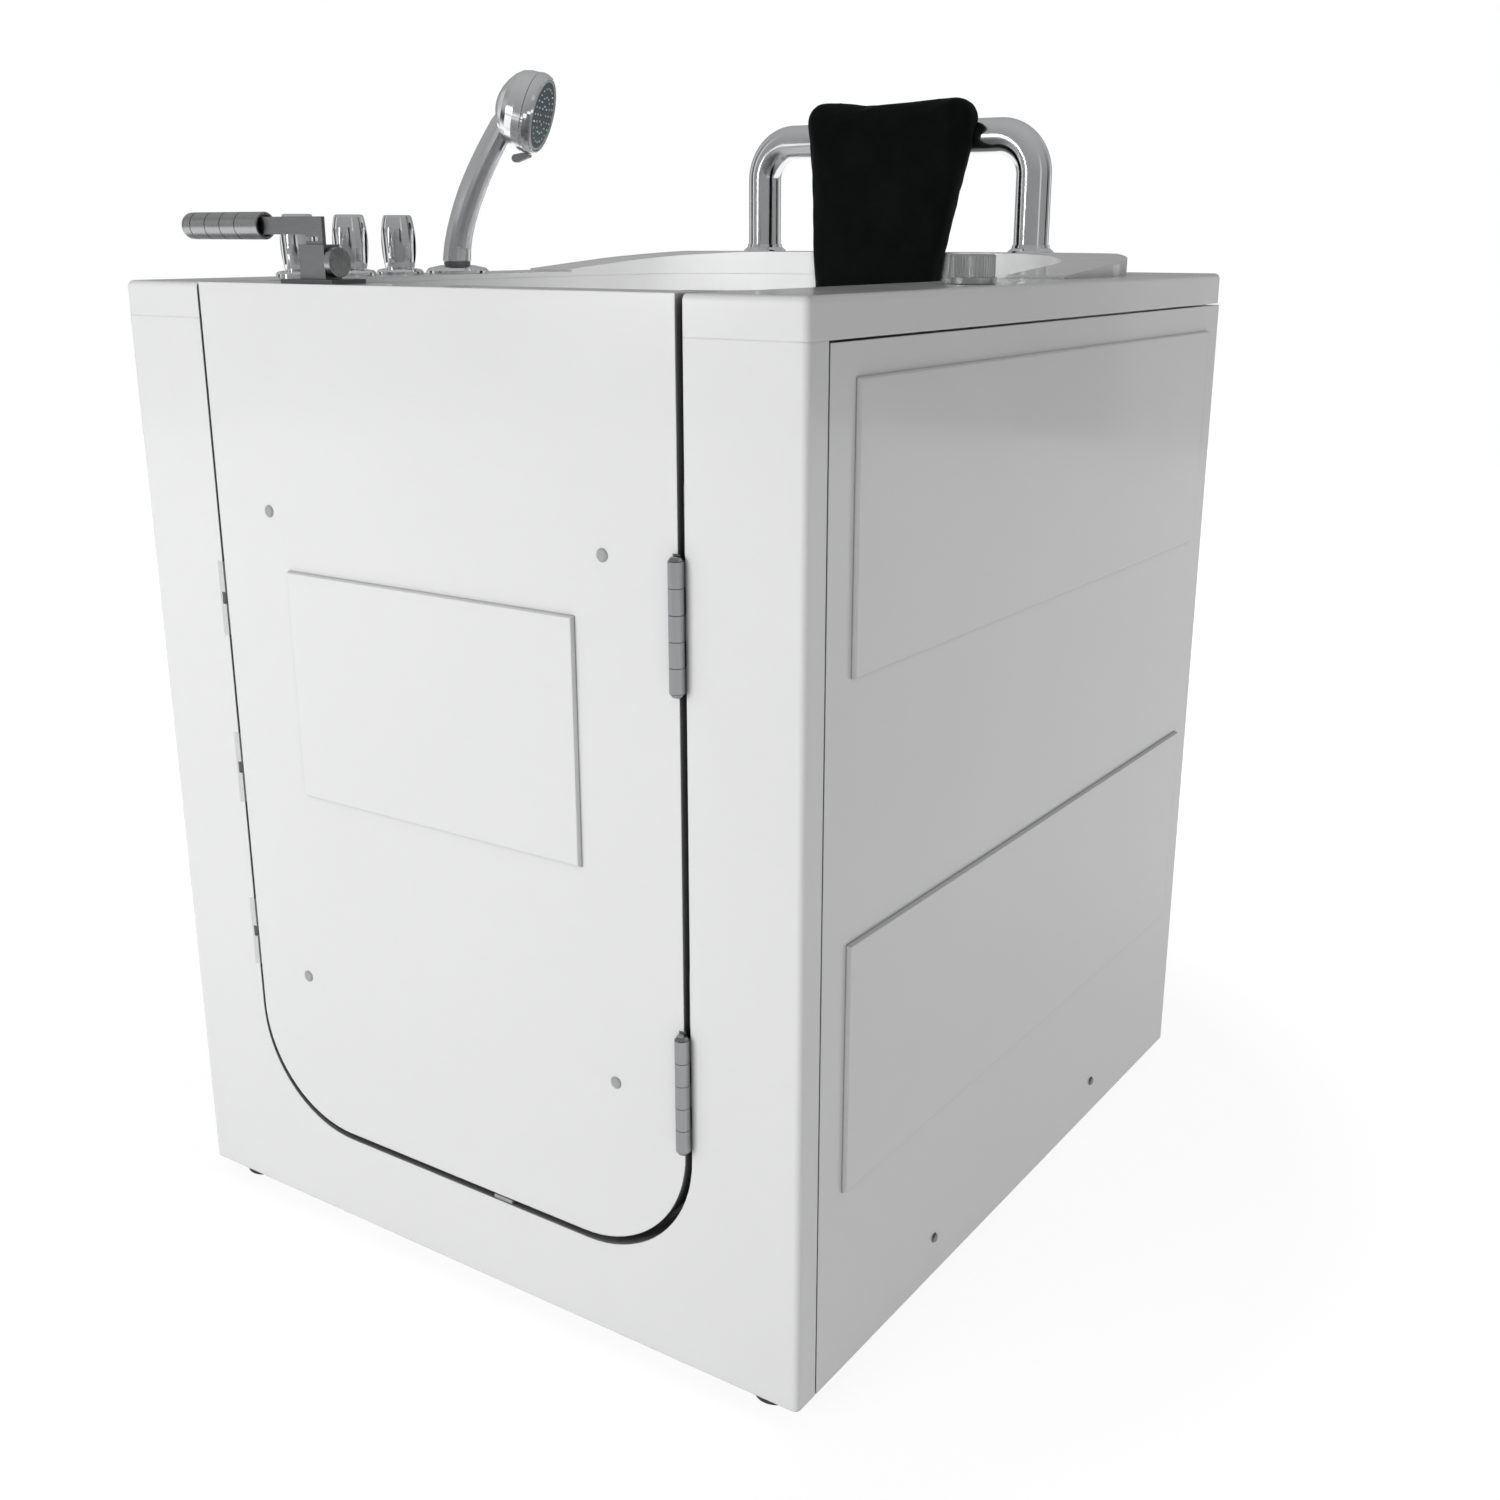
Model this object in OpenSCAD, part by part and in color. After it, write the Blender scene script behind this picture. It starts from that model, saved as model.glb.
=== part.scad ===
// Walk-in bathtub with an outward swinging door at the foot end.
// X runs along the door face (right is +X), Y runs back towards the seat and
// Z is up.  The origin is on the floor under the middle of the shell.

/* [Shell] */
// Width of the shell across the door face
tub_w = 815; // [760:5:900]
// Depth of the shell from the door face to the back
tub_d = 915; // [880:5:1100]
// Height of the shell from the skirt to the deck
shell_h = 997; // [940:1:1060]
// Clear height under the skirt
skirt_gap = 18; // [14:1:24]
// Wall thickness of the moulded shell
wall_t = 6; // [5:0.5:8]
// Radius of the shell's outer edges
edge_r = 6; // [5:1:9]
// Height of the deck's turned-down edge
deck_edge_h = 34; // [30:1:44]
// Width of the corner strips beside the side panels
corner_strip = 31; // [26:1:40]

/* [Basin] */
// Width of each side rim, from the shell's side to the basin
side_rim = 112; // [104:1:124]
// Width of the rear rim, from the shell's back to the basin
rear_rim = 96; // [92:1:110]
// Rear corner radius of the basin at the deck
basin_rear_r = 140; // [100:5:160]
// Front corner radius of the basin
basin_front_r = 40; // [30:2:60]
// How far each basin wall leans in from the deck to the floor
basin_draft = 22; // [10:1:36]
// Height of the basin floor above the ground
well_floor_z = 128; // [118:1:140]
// Height of the seat above the basin floor
seat_h = 432; // [400:2:460]
// Depth of the seat from its front edge to the backrest
seat_depth = 352; // [320:2:380]
// Radius of the seat's front edge
seat_edge_r = 26; // [14:1:34]
// Lean of the backrest between the seat and the deck
back_lean = 46; // [30:1:60]
// Radius between the basin floor and its walls
floor_r = 30; // [20:1:40]

/* [Collar] */
// Distance from the door face to the front end of the raised collar
collar_start = 566; // [540:1:620]
// Height of the collar at its front end
collar_step = 3; // [2:0.5:6]
// Rise of the collar for each millimetre towards the back
collar_slope = 0.075; // [0.06:0.001:0.09]
// Width of flat deck left outside the collar
collar_margin = 44; // [36:1:56]
// Radius of the collar's rear corners
collar_r = 200; // [170:5:210]
// Width of flat deck left behind the collar
collar_rear = 23; // [10:1:26]

/* [Door] */
// Width of the door opening
door_w = 587; // [560:1:600]
// Distance of the opening's middle from the shell's middle
door_shift = -3; // [-8:1:4]
// Height of the opening's lower edge above the skirt
door_sill = 97; // [90:1:110]
// Radius of the opening's lower corners
door_r = 128; // [100:2:150]
// Gap on the latch side
latch_gap = 3.2; // [3:0.1:4]
// Gap on the hinge side and along the bottom
hinge_gap = 7.5; // [6.5:0.1:9]
// Thickness of the door
door_t = 56; // [50:1:60]
// Thickness of the door's mouldings
door_skin = 5; // [4:0.5:6]
// Width of the raised rectangle on the door
pad_w = 366; // [320:2:400]
// Height of the raised rectangle on the door
pad_h = 234; // [200:2:260]
// Height of its middle above the skirt
pad_z = 606; // [580:2:640]
// How far the raised rectangles stand proud
pad_proud = 4.5; // [3:0.5:6]
// Distance of the screw caps from the opening's left edge
cap_left = 78.5; // [70:0.5:90]
// Distance of the screw caps from the opening's right edge
cap_right = 87.7; // [76:0.1:96]
// Height of the upper screw caps above the skirt
cap_top_z = 780; // [750:1:810]
// Height of the lower screw caps above the skirt
cap_low_z = 279; // [250:1:310]
// Diameter of the door's screw caps
cap_d = 12; // [10:0.5:15]
// Depth of the jamb behind the door face
jamb_d = 61; // [59:0.5:70]
// Width of the clear way through the basin's front wall
way_w = 500; // [470:2:520]

/* [Seal] */
// Width of the door seal
seal_w = 12; // [10:0.5:14]
// Thickness of the door seal
seal_t = 4.5; // [4:0.1:4.6]

/* [Hinges] */
// Length of each hinge barrel
hinge_l = 113; // [100:1:120]
// Diameter of each hinge barrel
hinge_d = 14; // [12:0.5:15]
// Diameter of the hinge pins
hinge_pin_d = 7; // [6:0.5:8]
// How far the barrel's axis stands in front of the door face
hinge_proud = 5; // [4:0.5:6]
// Height of the upper hinge's middle above the skirt
hinge_top_z = 728; // [700:1:760]
// Height of the lower hinge's middle above the skirt
hinge_low_z = 293; // [270:1:320]
// Thickness of the hinge leaves
leaf_t = 2.5; // [2:0.5:3]
// How far the leaves reach above the barrel
leaf_over = 63; // [50:1:70]
// How far the door opens, in degrees
door_swing = 135; // [110:5:140]

/* [Latch] */
// Distance of the latch from the shell's right side
latch_from_right = 560; // [545:1:570]
// Distance of the lever's axle behind the door face
axle_back = 30; // [29:0.5:31]
// Height of the lever's axle above the door's top
axle_h = 19; // [18:1:22]
// Diameter of the lever's axle
axle_d = 8; // [7:0.5:9]
// Diameter of the axle's head
axle_head_d = 27; // [22:1:30]
// Width of the lever's hub
hub_w = 24; // [22:1:26]
// Diameter of the ribbed grip
grip_d = 25.5; // [22:0.5:28]
// Length of the ribbed grip
grip_l = 114; // [100:1:130]
// Height of the grip's middle above the door's top
grip_h = 52; // [50:1:56]
// How far the lever turns from released to locked, in degrees
lever_swing = 85; // [70:1:86]
// Length of the cranks that drive the latch bar
crank_r = 14; // [13:0.5:14.5]
// Diameter of the latch studs
stud_d = 9; // [8:0.5:10]
// Height of the upper keeper's middle above the skirt
keeper_top_z = 683; // [660:1:700]
// Height of the middle keeper's middle above the skirt
keeper_mid_z = 500; // [480:1:520]
// Height of the lower keeper's middle above the skirt
keeper_low_z = 312; // [290:1:330]
// Height of each keeper plate
keeper_h = 77; // [70:1:84]
// Width of each keeper plate, as seen in the gap
keeper_w = 7; // [6.5:0.5:9]
// Depth of each keeper plate
keeper_d = 46; // [40:1:50]

/* [Side panels] */
// Gap between a panel and the shell around it
panel_gap = 2; // [1:0.5:3]
// Height of each raised rectangle on a panel
band_h = 248; // [220:2:260]
// Height of the upper rectangle's middle above the skirt
band_top_z = 809; // [790:1:815]
// Height of the lower rectangle's middle above the skirt
band_low_z = 319; // [300:1:340]
// Distance from the door face to the rectangles' front edge
band_front = 73; // [66:1:90]
// Distance from the back to the rectangles' rear edge
band_rear = 38; // [30:1:60]

/* [Frame] */
// Size of the square frame tube
tube = 25; // [22:1:26]
// Wall of the frame tube
tube_wall = 2; // [1.5:0.5:3]
// Diameter of the foot pads
foot_d = 42; // [36:1:50]
// Diameter of the feet's threaded studs
foot_stud_d = 12; // [10:1:14]

/* [Taps] */
// Distance of the taps from the shell's left side
tap_in = 46; // [42:1:52]
// Distance of the first tap behind the door face
tap_first = 190; // [180:1:200]
// Spacing of the taps
tap_pitch = 74; // [66:1:80]
// Height of each tap handle
tap_h = 65; // [56:1:70]
// Largest diameter of each tap handle
tap_d = 39; // [36:1:42]
// Diameter of each tap flange
tap_flange_d = 53; // [48:1:56]
// Distance of the drain knob behind the door face
drain_knob_back = 355; // [330:1:370]
// Distance of the drain knob from the shell's right side
drain_knob_in = 44; // [40:1:52]
// Diameter of the drain knob
drain_knob_d = 43; // [38:1:46]
// Diameter of the hole in the drain
drain_d = 48; // [42:1:52]

/* [Handset] */
// Distance of the handset from the shell's left side
handset_in = 58; // [54:1:64]
// Distance of the handset behind the door face
handset_back = 420; // [412:1:440]
// Length of the curved handle
handle_l = 150; // [144:1:158]
// How far the handle leans out at its top
handle_out = 63; // [58:1:68]
// Diameter of the handle at its foot
handle_d = 33; // [28:1:36]
// Diameter of the spray head
head_d = 90; // [84:1:96]
// Diameter of the holder's flange
holder_d = 73; // [66:1:80]

/* [Grab bar] */
// Diameter of the grab bar's tube
bar_d = 42.4; // [38:0.2:44]
// Distance between the legs
bar_span = 389; // [370:1:420]
// Height of the bar's middle above the deck
bar_h = 158; // [145:1:170]
// Distance of the bar in front of the shell's back
bar_rear = 58; // [53:1:63]
// Sideways place of the bar's middle
bar_x = -7; // [-15:1:15]
// Bend radius at the tube's middle
bar_bend = 46; // [42:1:60]
// Wall of the bar's tube
bar_wall = 2; // [1.5:0.5:3]

/* [Headrest] */
// Width of the headrest across its top
rest_top_w = 236; // [220:2:260]
// Sideways place of the headrest's middle
rest_x = 6; // [0:1:20]
// Width of the headrest across its foot
rest_foot_w = 162; // [150:2:190]
// Height of the headrest's top above the deck
rest_top_h = 194; // [185:1:210]
// Depth of the headrest's foot below the deck
rest_low = 92; // [60:2:110]
// Thickness of the headrest at its crown
rest_t = 40; // [34:1:46]
// Dip of the headrest's top edge
rest_dip = 10; // [4:1:16]
// Lean of the headrest, its foot forward, in degrees
rest_tilt = 6.5; // [5:0.5:9]

/* [Hidden] */

$fn = 48;
eps = 0.01;                 // overlap that makes joined shapes one solid
play = 0.4;                 // clearance round hand-moved parts
running = 0.05;             // radial clearance of a pin that turns in its bore

// main levels and planes
deck_z = skirt_gap + shell_h;
front_y = -tub_d / 2;
back_y = tub_d / 2;
deck_low = deck_z - deck_edge_h;
deck_under = deck_z - wall_t;
flange_y = front_y + jamb_d;               // front face of the basin's front wall
basin_y0 = flange_y + wall_t;
basin_y1 = back_y - rear_rim;
basin_hw = tub_w / 2 - side_rim;
seat_z = well_floor_z + seat_h;
seat_y1 = basin_y1 - back_lean;
seat_y0 = seat_y1 - seat_depth;

// door opening
door_x = door_shift;
seal_lip = 4;                              // wall left between the way and the seal
way_side = seal_w + seal_lip + 24;         // least from the way's edge to the opening's
open_w = max(door_w, way_w + 2 * way_side);
open_x0 = door_x - open_w / 2;
open_x1 = door_x + open_w / 2;
sill_z = skirt_gap + door_sill;
leaf_x0 = open_x0 + latch_gap;
leaf_x1 = open_x1 - hinge_gap;
leaf_z0 = sill_z + hinge_gap;
leaf_w = leaf_x1 - leaf_x0;
leaf_r = door_r - hinge_gap / 2;
latch_bevel = 2;                           // degrees off the latch edge, to clear the jamb
jamb_t = 14;
way_x0 = door_x - way_w / 2;
way_z = sill_z + 38;
way_r = 92;
hinge_x = leaf_x1 + hinge_gap / 5;
hinge_y = front_y - hinge_proud;
hinge_zs = [skirt_gap + hinge_top_z, skirt_gap + hinge_low_z];
door_inner_y = front_y + door_t;

// latch
latch_x = tub_w / 2 - latch_from_right;
axle_y = front_y + axle_back;
axle_z = deck_z + axle_h;
housing_w = 34;
housing_d = 20;
housing_h = 31;
latch_base_t = 4;
strap_w = 6;                               // thickness of the latch bar's strap
hub_d = 14;
arm_t = 4;
pin_d = 5;
keeper_zs = [for (z = [keeper_top_z, keeper_mid_z, keeper_low_z]) skirt_gap + z];
bar_line_x = leaf_x0 + 26;                 // middle of the vertical latch bar
latch_bar_y = front_y + 28;
latch_travel = 2 * crank_r * sin(lever_swing / 2);
stud_in = 2.8;                             // how far a stud stands in its keeper

// taps, drain and handset
tap_x = -tub_w / 2 + tap_in;
tap_ys = [for (i = [0:2]) front_y + tap_first + i * tap_pitch];
drain_knob_x = tub_w / 2 - drain_knob_in;
drain_knob_y = front_y + drain_knob_back;
drain_x = 0;
drain_y = (basin_y0 + seat_y0) / 2 - 10;
handset_x = -tub_w / 2 + handset_in;
handset_y = front_y + handset_back;

// grab bar and headrest
bar_back = tub_d - bar_rear;
bar_y = front_y + bar_back;
collar_flat = bar_back - bar_d / 2 - 10;     // from here back the collar's top is level
function collar_h(back) = collar_step + collar_slope * max(0, min(back, collar_flat) - collar_start);
collar_top = collar_h(tub_d);
bar_foot_z = deck_z + collar_h(bar_back);
bar_axis_z = deck_z + bar_h;

white = [0.93, 0.93, 0.94];
steel = [0.62, 0.63, 0.64];
chrome = [0.8, 0.81, 0.83];
black = [0.07, 0.07, 0.075];
rubber = [0.16, 0.16, 0.17];
plastic = [0.45, 0.46, 0.47];
light_grey = [0.76, 0.77, 0.78];

// ---------- shared shapes ----------

// a flat XZ profile given depth along Y
module along_y(y0, y1) {
  translate([0, y1, 0]) rotate([90, 0, 0]) linear_extrude(y1 - y0) children();
}

// a flat YZ profile given width along X
module along_x(x0, x1) {
  translate([x0, 0, 0]) rotate([90, 0, 90]) linear_extrude(x1 - x0) children();
}

module rounded_rect(x0, x1, y0, y1, r) {
  translate([x0 + r, y0]) square([x1 - x0 - 2 * r, y1 - y0]);
  translate([x0, y0 + r]) square([x1 - x0, y1 - y0 - 2 * r]);
  for (x = [x0 + r, x1 - r], y = [y0 + r, y1 - r]) translate([x, y]) circle(r);
}

// a rectangle with one radius at its front corners and another at the rear
module basin_rect(x0, x1, y0, y1, rf, rr) {
  translate([x0 + rf, y0]) square([x1 - x0 - 2 * rf, rf]);
  translate([x0, y0 + rf]) square([x1 - x0, y1 - y0 - rf - rr]);
  translate([x0 + rr, y1 - rr - eps]) square([x1 - x0 - 2 * rr, rr + eps]);
  for (x = [x0 + rf, x1 - rf]) translate([x, y0 + rf]) circle(rf);
  for (x = [x0 + rr, x1 - rr]) translate([x, y1 - rr]) circle(rr);
}

// the U shape of the door opening, with its two lower corners rounded
module door_profile(x0, x1, z0, z1, r) {
  translate([x0, z0 + r]) square([x1 - x0, z1 - z0 - r]);
  translate([x0 + r, z0]) square([x1 - x0 - 2 * r, r + eps]);
  for (x = [x0 + r, x1 - r]) translate([x, z0 + r]) circle(r, $fn = 96);
}

module tube_z(d, inner, z0, z1) {
  translate([0, 0, z0]) difference() {
    cylinder(d = d, h = z1 - z0);
    translate([0, 0, -eps]) cylinder(d = inner, h = z1 - z0 + 2 * eps);
  }
}

// square tube from one corner to the opposite one, open at both ends
module square_tube(corner, size, axis) {
  bore = [for (i = [0:2]) i == axis ? size[i] + 2 : size[i] - 2 * tube_wall];
  translate(corner) difference() {
    cube(size);
    translate([for (i = [0:2]) i == axis ? -1 : tube_wall]) cube(bore);
  }
}

// triangles round a line of points, with a radius at each point
function unit(v) = v / norm(v);
function heading(p, i) = unit(p[min(i + 1, len(p) - 1)] - p[max(i - 1, 0)]);
function side_of(t) = unit(cross([0, 1, 0], t));
module swept(points, radii, sides = 10) {
  n = len(points);
  loft([for (i = [0:n - 1])
    let (t = heading(points, i), u = side_of(t), v = cross(t, u))
    [for (k = [0:sides - 1])
      points[i] + radii[i] * (cos(360 * k / sides) * u + sin(360 * k / sides) * v)]],
    points[0], points[n - 1]);
}

// triangles over a row of rings of equal length, closed to a point at each end
module loft(rings, start, end) {
  n = len(rings);
  m = len(rings[0]);
  last = (n - 1) * m;
  polyhedron(
    concat([for (r = rings) for (p = r) p], [start, end]),
    concat(
      [for (i = [0:n - 2], k = [0:m - 1])
        let (a = i * m + k, b = i * m + (k + 1) % m)
        for (f = [[a, a + m, b], [b, a + m, b + m]]) f],
      [for (k = [0:m - 1]) [k, (k + 1) % m, n * m]],
      [for (k = [0:m - 1]) [last + (k + 1) % m, last + k, n * m + 1]]),
    convexity = 6);
}

// ---------- shell ----------

// block with rounded corners and a rounded top edge
module soft_block(z0, z1) {
  steps = 4;
  hull() {
    translate([0, 0, z0]) linear_extrude(z1 - z0 - edge_r)
      rounded_rect(-tub_w / 2, tub_w / 2, front_y, back_y, edge_r, $fn = 24);
    for (i = [1:steps]) {
      a = 90 * i / steps;
      inset = edge_r * (1 - cos(a));
      translate([0, 0, z1 - edge_r]) linear_extrude(edge_r * sin(a))
        rounded_rect(-tub_w / 2 + inset, tub_w / 2 - inset, front_y + inset,
          back_y - inset, edge_r - inset + 0.5, $fn = 24);
    }
  }
}

module basin_outline(grow = 0) {
  basin_rect(-basin_hw - grow, basin_hw + grow, basin_y0 - grow, basin_y1 + grow,
    basin_front_r + grow, basin_rear_r + grow, $fn = 96);
}

module collar_pad() {
  intersection() {
    translate([0, 0, deck_under]) linear_extrude(wall_t + collar_top) difference() {
      rounded_rect(-tub_w / 2 + collar_margin, tub_w / 2 - collar_margin,
        front_y + collar_start - collar_r, back_y - collar_rear, collar_r, $fn = 96);
      basin_outline(-6);
      translate([-tub_w / 2, front_y]) square([tub_w, collar_start]);
    }
    along_x(-tub_w / 2, tub_w / 2) polygon([
      [front_y + collar_start, deck_under], [back_y, deck_under],
      [back_y, deck_z + collar_top], [front_y + collar_flat, deck_z + collar_top],
      [front_y + collar_start, deck_z + collar_step]
    ]);
  }
}

module jamb_ring(z0, z1) {
  intersection() {
    along_y(front_y + eps, flange_y) difference() {
      door_profile(open_x0 - jamb_t, open_x1 + jamb_t, sill_z - jamb_t, deck_under + eps,
        door_r + jamb_t);
      door_profile(open_x0, open_x1, sill_z, deck_z + 1, door_r);
    }
    translate([-tub_w / 2, front_y - 1, z0]) cube([tub_w, tub_d, z1 - z0]);
  }
}

module door_notch() {
  along_y(front_y - 1, flange_y) door_profile(open_x0, open_x1, sill_z, deck_z + 60, door_r);
}

module deck_holes() {
  for (y = tap_ys) translate([tap_x, y, deck_under - 1]) cylinder(d = 32, h = wall_t + 2);
  translate([handset_x, handset_y, deck_under - 1]) cylinder(d = 36, h = wall_t + 2);
  translate([drain_knob_x, drain_knob_y, deck_under - 1]) cylinder(d = 22, h = wall_t + 2);
  for (s = [-1, 1]) translate([bar_x + s * bar_span / 2, bar_y, deck_under - 1])
    cylinder(d = 13, h = wall_t + collar_top + 2);
}

module deck() color(white) difference() {
  union() {
    difference() {
      soft_block(deck_low, deck_z);
      translate([-tub_w / 2 + wall_t, front_y + wall_t, deck_low - 1])
        cube([tub_w - 2 * wall_t, tub_d - 2 * wall_t, deck_edge_h - wall_t + 1]);
    }
    jamb_ring(deck_low, deck_under + eps);
    collar_pad();
  }
  door_notch();
  translate([0, 0, deck_low - 1]) linear_extrude(200) basin_outline();
  along_y(flange_y - 1, basin_y0 + 1)
    door_profile(way_x0, way_x0 + way_w, way_z, deck_z + 60, way_r);
  deck_holes();
}

module keeper_slots() {
  for (z = keeper_zs) translate([open_x0 - keeper_w, front_y - 1, z - keeper_h / 2])
    cube([keeper_w + 1, keeper_d + 1, keeper_h]);
}

module front_apron() color(white) difference() {
  union() {
    translate([0, 0, skirt_gap]) linear_extrude(deck_low - skirt_gap) difference() {
      rounded_rect(-tub_w / 2, tub_w / 2, front_y, back_y, edge_r);
      translate([-tub_w / 2 + wall_t, front_y + wall_t])
        square([tub_w - 2 * wall_t, tub_d]);
      translate([-tub_w / 2 - 1, front_y + corner_strip]) square([tub_w + 2, tub_d]);
    }
    jamb_ring(skirt_gap, deck_low);
  }
  door_notch();
  keeper_slots();
  at_keeper_screws() cylinder(d = keeper_screw_d, h = keeper_screw_l);
}

// space inside the basin, or its outside when grown by the wall
module basin_space(grow) {
  top = deck_under + (grow > 0 ? 0 : 1);
  lean = basin_draft * (deck_z - seat_z) / (deck_z - well_floor_z);
  hull() {
    translate([0, 0, top - 1]) linear_extrude(1) basin_outline(grow);
    for (i = [0:3]) {
      a = 90 * i / 3;
      inset = floor_r * (1 - sin(a)) - grow;
      translate([0, 0, seat_z - grow + floor_r * (1 - cos(a))]) linear_extrude(1)
        basin_rect(-basin_hw + lean + inset, basin_hw - lean - inset,
          basin_y0 - grow, seat_y1 - inset,
          basin_front_r + grow, basin_rear_r - 30, $fn = 48);
    }
  }
  hull() {
    translate([0, 0, seat_z + 20]) linear_extrude(1)
      basin_rect(-basin_hw + lean - grow, basin_hw - lean + grow, basin_y0 - grow, seat_y0 + grow,
        basin_front_r + grow, basin_front_r + grow, $fn = 48);
    for (i = [0:3]) {
      a = 90 * i / 3;
      inset = floor_r * (1 - sin(a)) - grow;
      translate([0, 0, well_floor_z - grow + floor_r * (1 - cos(a))]) linear_extrude(1)
        basin_rect(-basin_hw + basin_draft + inset, basin_hw - basin_draft - inset,
          basin_y0 + max(inset, -grow), seat_y0 - 12 - inset, basin_front_r, basin_front_r, $fn = 48);
    }
  }
}

module seat_edge(grow) {
  lean = basin_draft * (deck_z - seat_z) / (deck_z - well_floor_z);
  half = basin_hw - lean - 34;
  r = seat_edge_r - grow;
  difference() {
    translate([-half, seat_y0 - 12, seat_z - seat_edge_r]) cube([2 * half, seat_edge_r + 12, seat_edge_r + 1]);
    translate([0, seat_y0 + seat_edge_r, seat_z - seat_edge_r]) rotate([0, 90, 0])
      cylinder(r = r, h = tub_w, center = true, $fn = 64);
  }
}

module basin() color(white) difference() {
  union() {
    basin_space(wall_t);
    along_y(flange_y, basin_y0 + 1) intersection() {
      door_profile(open_x0 - jamb_t, open_x1 + jamb_t, sill_z - jamb_t + eps, deck_under, door_r + jamb_t);
      translate([-tub_w / 2, 0]) square([tub_w, deck_under]);
    }
  }
  basin_space(0);
  seat_edge(0);
  along_y(flange_y - 1, basin_y0 + 5)
    door_profile(way_x0, way_x0 + way_w, way_z, deck_z + 60, way_r);
  translate([drain_x, drain_y, well_floor_z - 20]) cylinder(d = drain_d + 6, h = 40);
  translate([basin_hw - 20, drain_y, overflow_z]) rotate([0, 90, 0]) cylinder(d = 30, h = 60);
  translate([-basin_hw - 40, tap_ys[1], spout_z]) rotate([0, 90, 0]) cylinder(d = 30, h = 60);
}

module side_panel(side) {
  x = side * tub_w / 2;
  y0 = front_y + corner_strip + panel_gap;
  y1 = back_y;
  z0 = skirt_gap;
  z1 = deck_low - panel_gap;
  low = side > 0 ? x - wall_t : x;
  difference() {
    union() {
      along_x(low, low + wall_t) translate([y0, z0]) square([y1 - y0, z1 - z0]);
      // turned-in edges that hook over the frame
      for (y = [y0, y1 - wall_t])
        translate([side > 0 ? x - 22 : x, y, z0]) cube([22, wall_t, z1 - z0]);
      translate([side > 0 ? x - 18 : x, y0, z1 - wall_t]) cube([18, y1 - y0, wall_t]);
      for (z = [band_low_z, band_top_z])
        raised_band(side, front_y + band_front, back_y - band_rear, skirt_gap + z);
    }
    for (y = screw_ys) translate([x, y, screw_z]) rotate([0, 90, 0])
      cylinder(d = 6.4, h = 60, center = true);
  }
}
screw_ys = [front_y + 264, front_y + 671];
screw_z = skirt_gap + 43;

// raised rectangle with sloping edges on a side panel
module raised_band(side, y0, y1, zc) {
  x = side * tub_w / 2;
  slope = pad_slope;
  hull() {
    along_x(min(x, x + side * 1), max(x, x + side * 1))
      translate([y0, zc - band_h / 2]) square([y1 - y0, band_h]);
    along_x(min(x, x + side * pad_proud), max(x, x + side * pad_proud))
      translate([y0 + slope, zc - band_h / 2 + slope]) square([y1 - y0 - 2 * slope, band_h - 2 * slope]);
  }
}

module right_panel() color(white) side_panel(1);
module left_panel() color(white) side_panel(-1);

module panel_screws() color(plastic)
  for (side = [-1, 1], y = screw_ys) translate([side * tub_w / 2, y, screw_z]) rotate([0, side * 90, 0]) {
    cylinder(d1 = 11, d2 = 8, h = 2.2);
    translate([0, 0, -frame_in]) cylinder(d = 6, h = frame_in + eps);
  }

// ---------- frame ----------

frame_in = wall_t + 27;                      // frame's outer face from the shell's side
frame_x = tub_w / 2 - frame_in;
frame_z = skirt_gap + 32;
rail_y0 = front_y + 22;
rail_y1 = back_y - 10;
top_rail_x = basin_hw + wall_t + 1;          // inner face of the top rails
top_rail_z = deck_under - tube;
upright_ys = [basin_y0 + 6, rail_y1 - tube];
seat_leg_y = seat_y0 + 10;                   // cross rail behind the foot well
cross_ys = [rail_y0, basin_y0 + 6, seat_leg_y - 90, seat_leg_y, rail_y1 - tube];
bearer_x = 120;                              // seat rails from the middle
post_x = 150;                                // posts under the foot well from the middle

module frame_side_rails() color(steel) for (s = [-1, 1])
  square_tube([s > 0 ? frame_x - tube : -frame_x, rail_y0, frame_z],
    [tube, rail_y1 - rail_y0, tube], 1);

module frame_cross_rails() color(steel) for (y = cross_ys)
  square_tube([-frame_x + tube, y, frame_z], [2 * frame_x - 2 * tube, tube, tube], 0);

module frame_uprights() color(steel) for (s = [-1, 1], y = upright_ys)
  square_tube([s > 0 ? frame_x - tube : -frame_x, y, frame_z + tube],
    [tube, tube, top_rail_z - frame_z - tube], 2);

// rails under the deck beside the basin, with stubs out over the uprights
module frame_top_rails() color(steel) {
  for (s = [-1, 1]) {
    square_tube([s > 0 ? top_rail_x : -top_rail_x - tube, upright_ys[0], top_rail_z],
      [tube, rail_y1 - tube - upright_ys[0], tube], 1);
    square_tube([s > 0 ? top_rail_x + tube : -frame_x, upright_ys[0], top_rail_z],
      [frame_x - top_rail_x - tube, tube, tube], 0);
  }
  square_tube([-frame_x, rail_y1 - tube, top_rail_z], [2 * frame_x, tube, tube], 0);
}

// seat rails on legs, and short posts under the foot well
seat_rail_z = seat_z - wall_t - tube;
module basin_supports() color(steel) for (s = [-1, 1]) {
  x = s * bearer_x - tube / 2;
  square_tube([x, seat_leg_y, seat_rail_z], [tube, rail_y1 - seat_leg_y, tube], 1);
  for (y = [seat_leg_y, rail_y1 - tube])
    square_tube([x, y, frame_z + tube], [tube, tube, seat_rail_z - frame_z - tube], 2);
  for (y = [cross_ys[1], cross_ys[2]])
    square_tube([s * post_x - tube / 2, y, frame_z + tube],
      [tube, tube, well_floor_z - wall_t - frame_z - tube], 2);
}

foot_ys = [rail_y0 + tube / 2, (rail_y0 + rail_y1) / 2, rail_y1 - tube / 2];
module at_feet() for (s = [-1, 1], y = foot_ys)
  translate([s * (frame_x - tube / 2), y, 0]) children();

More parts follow.
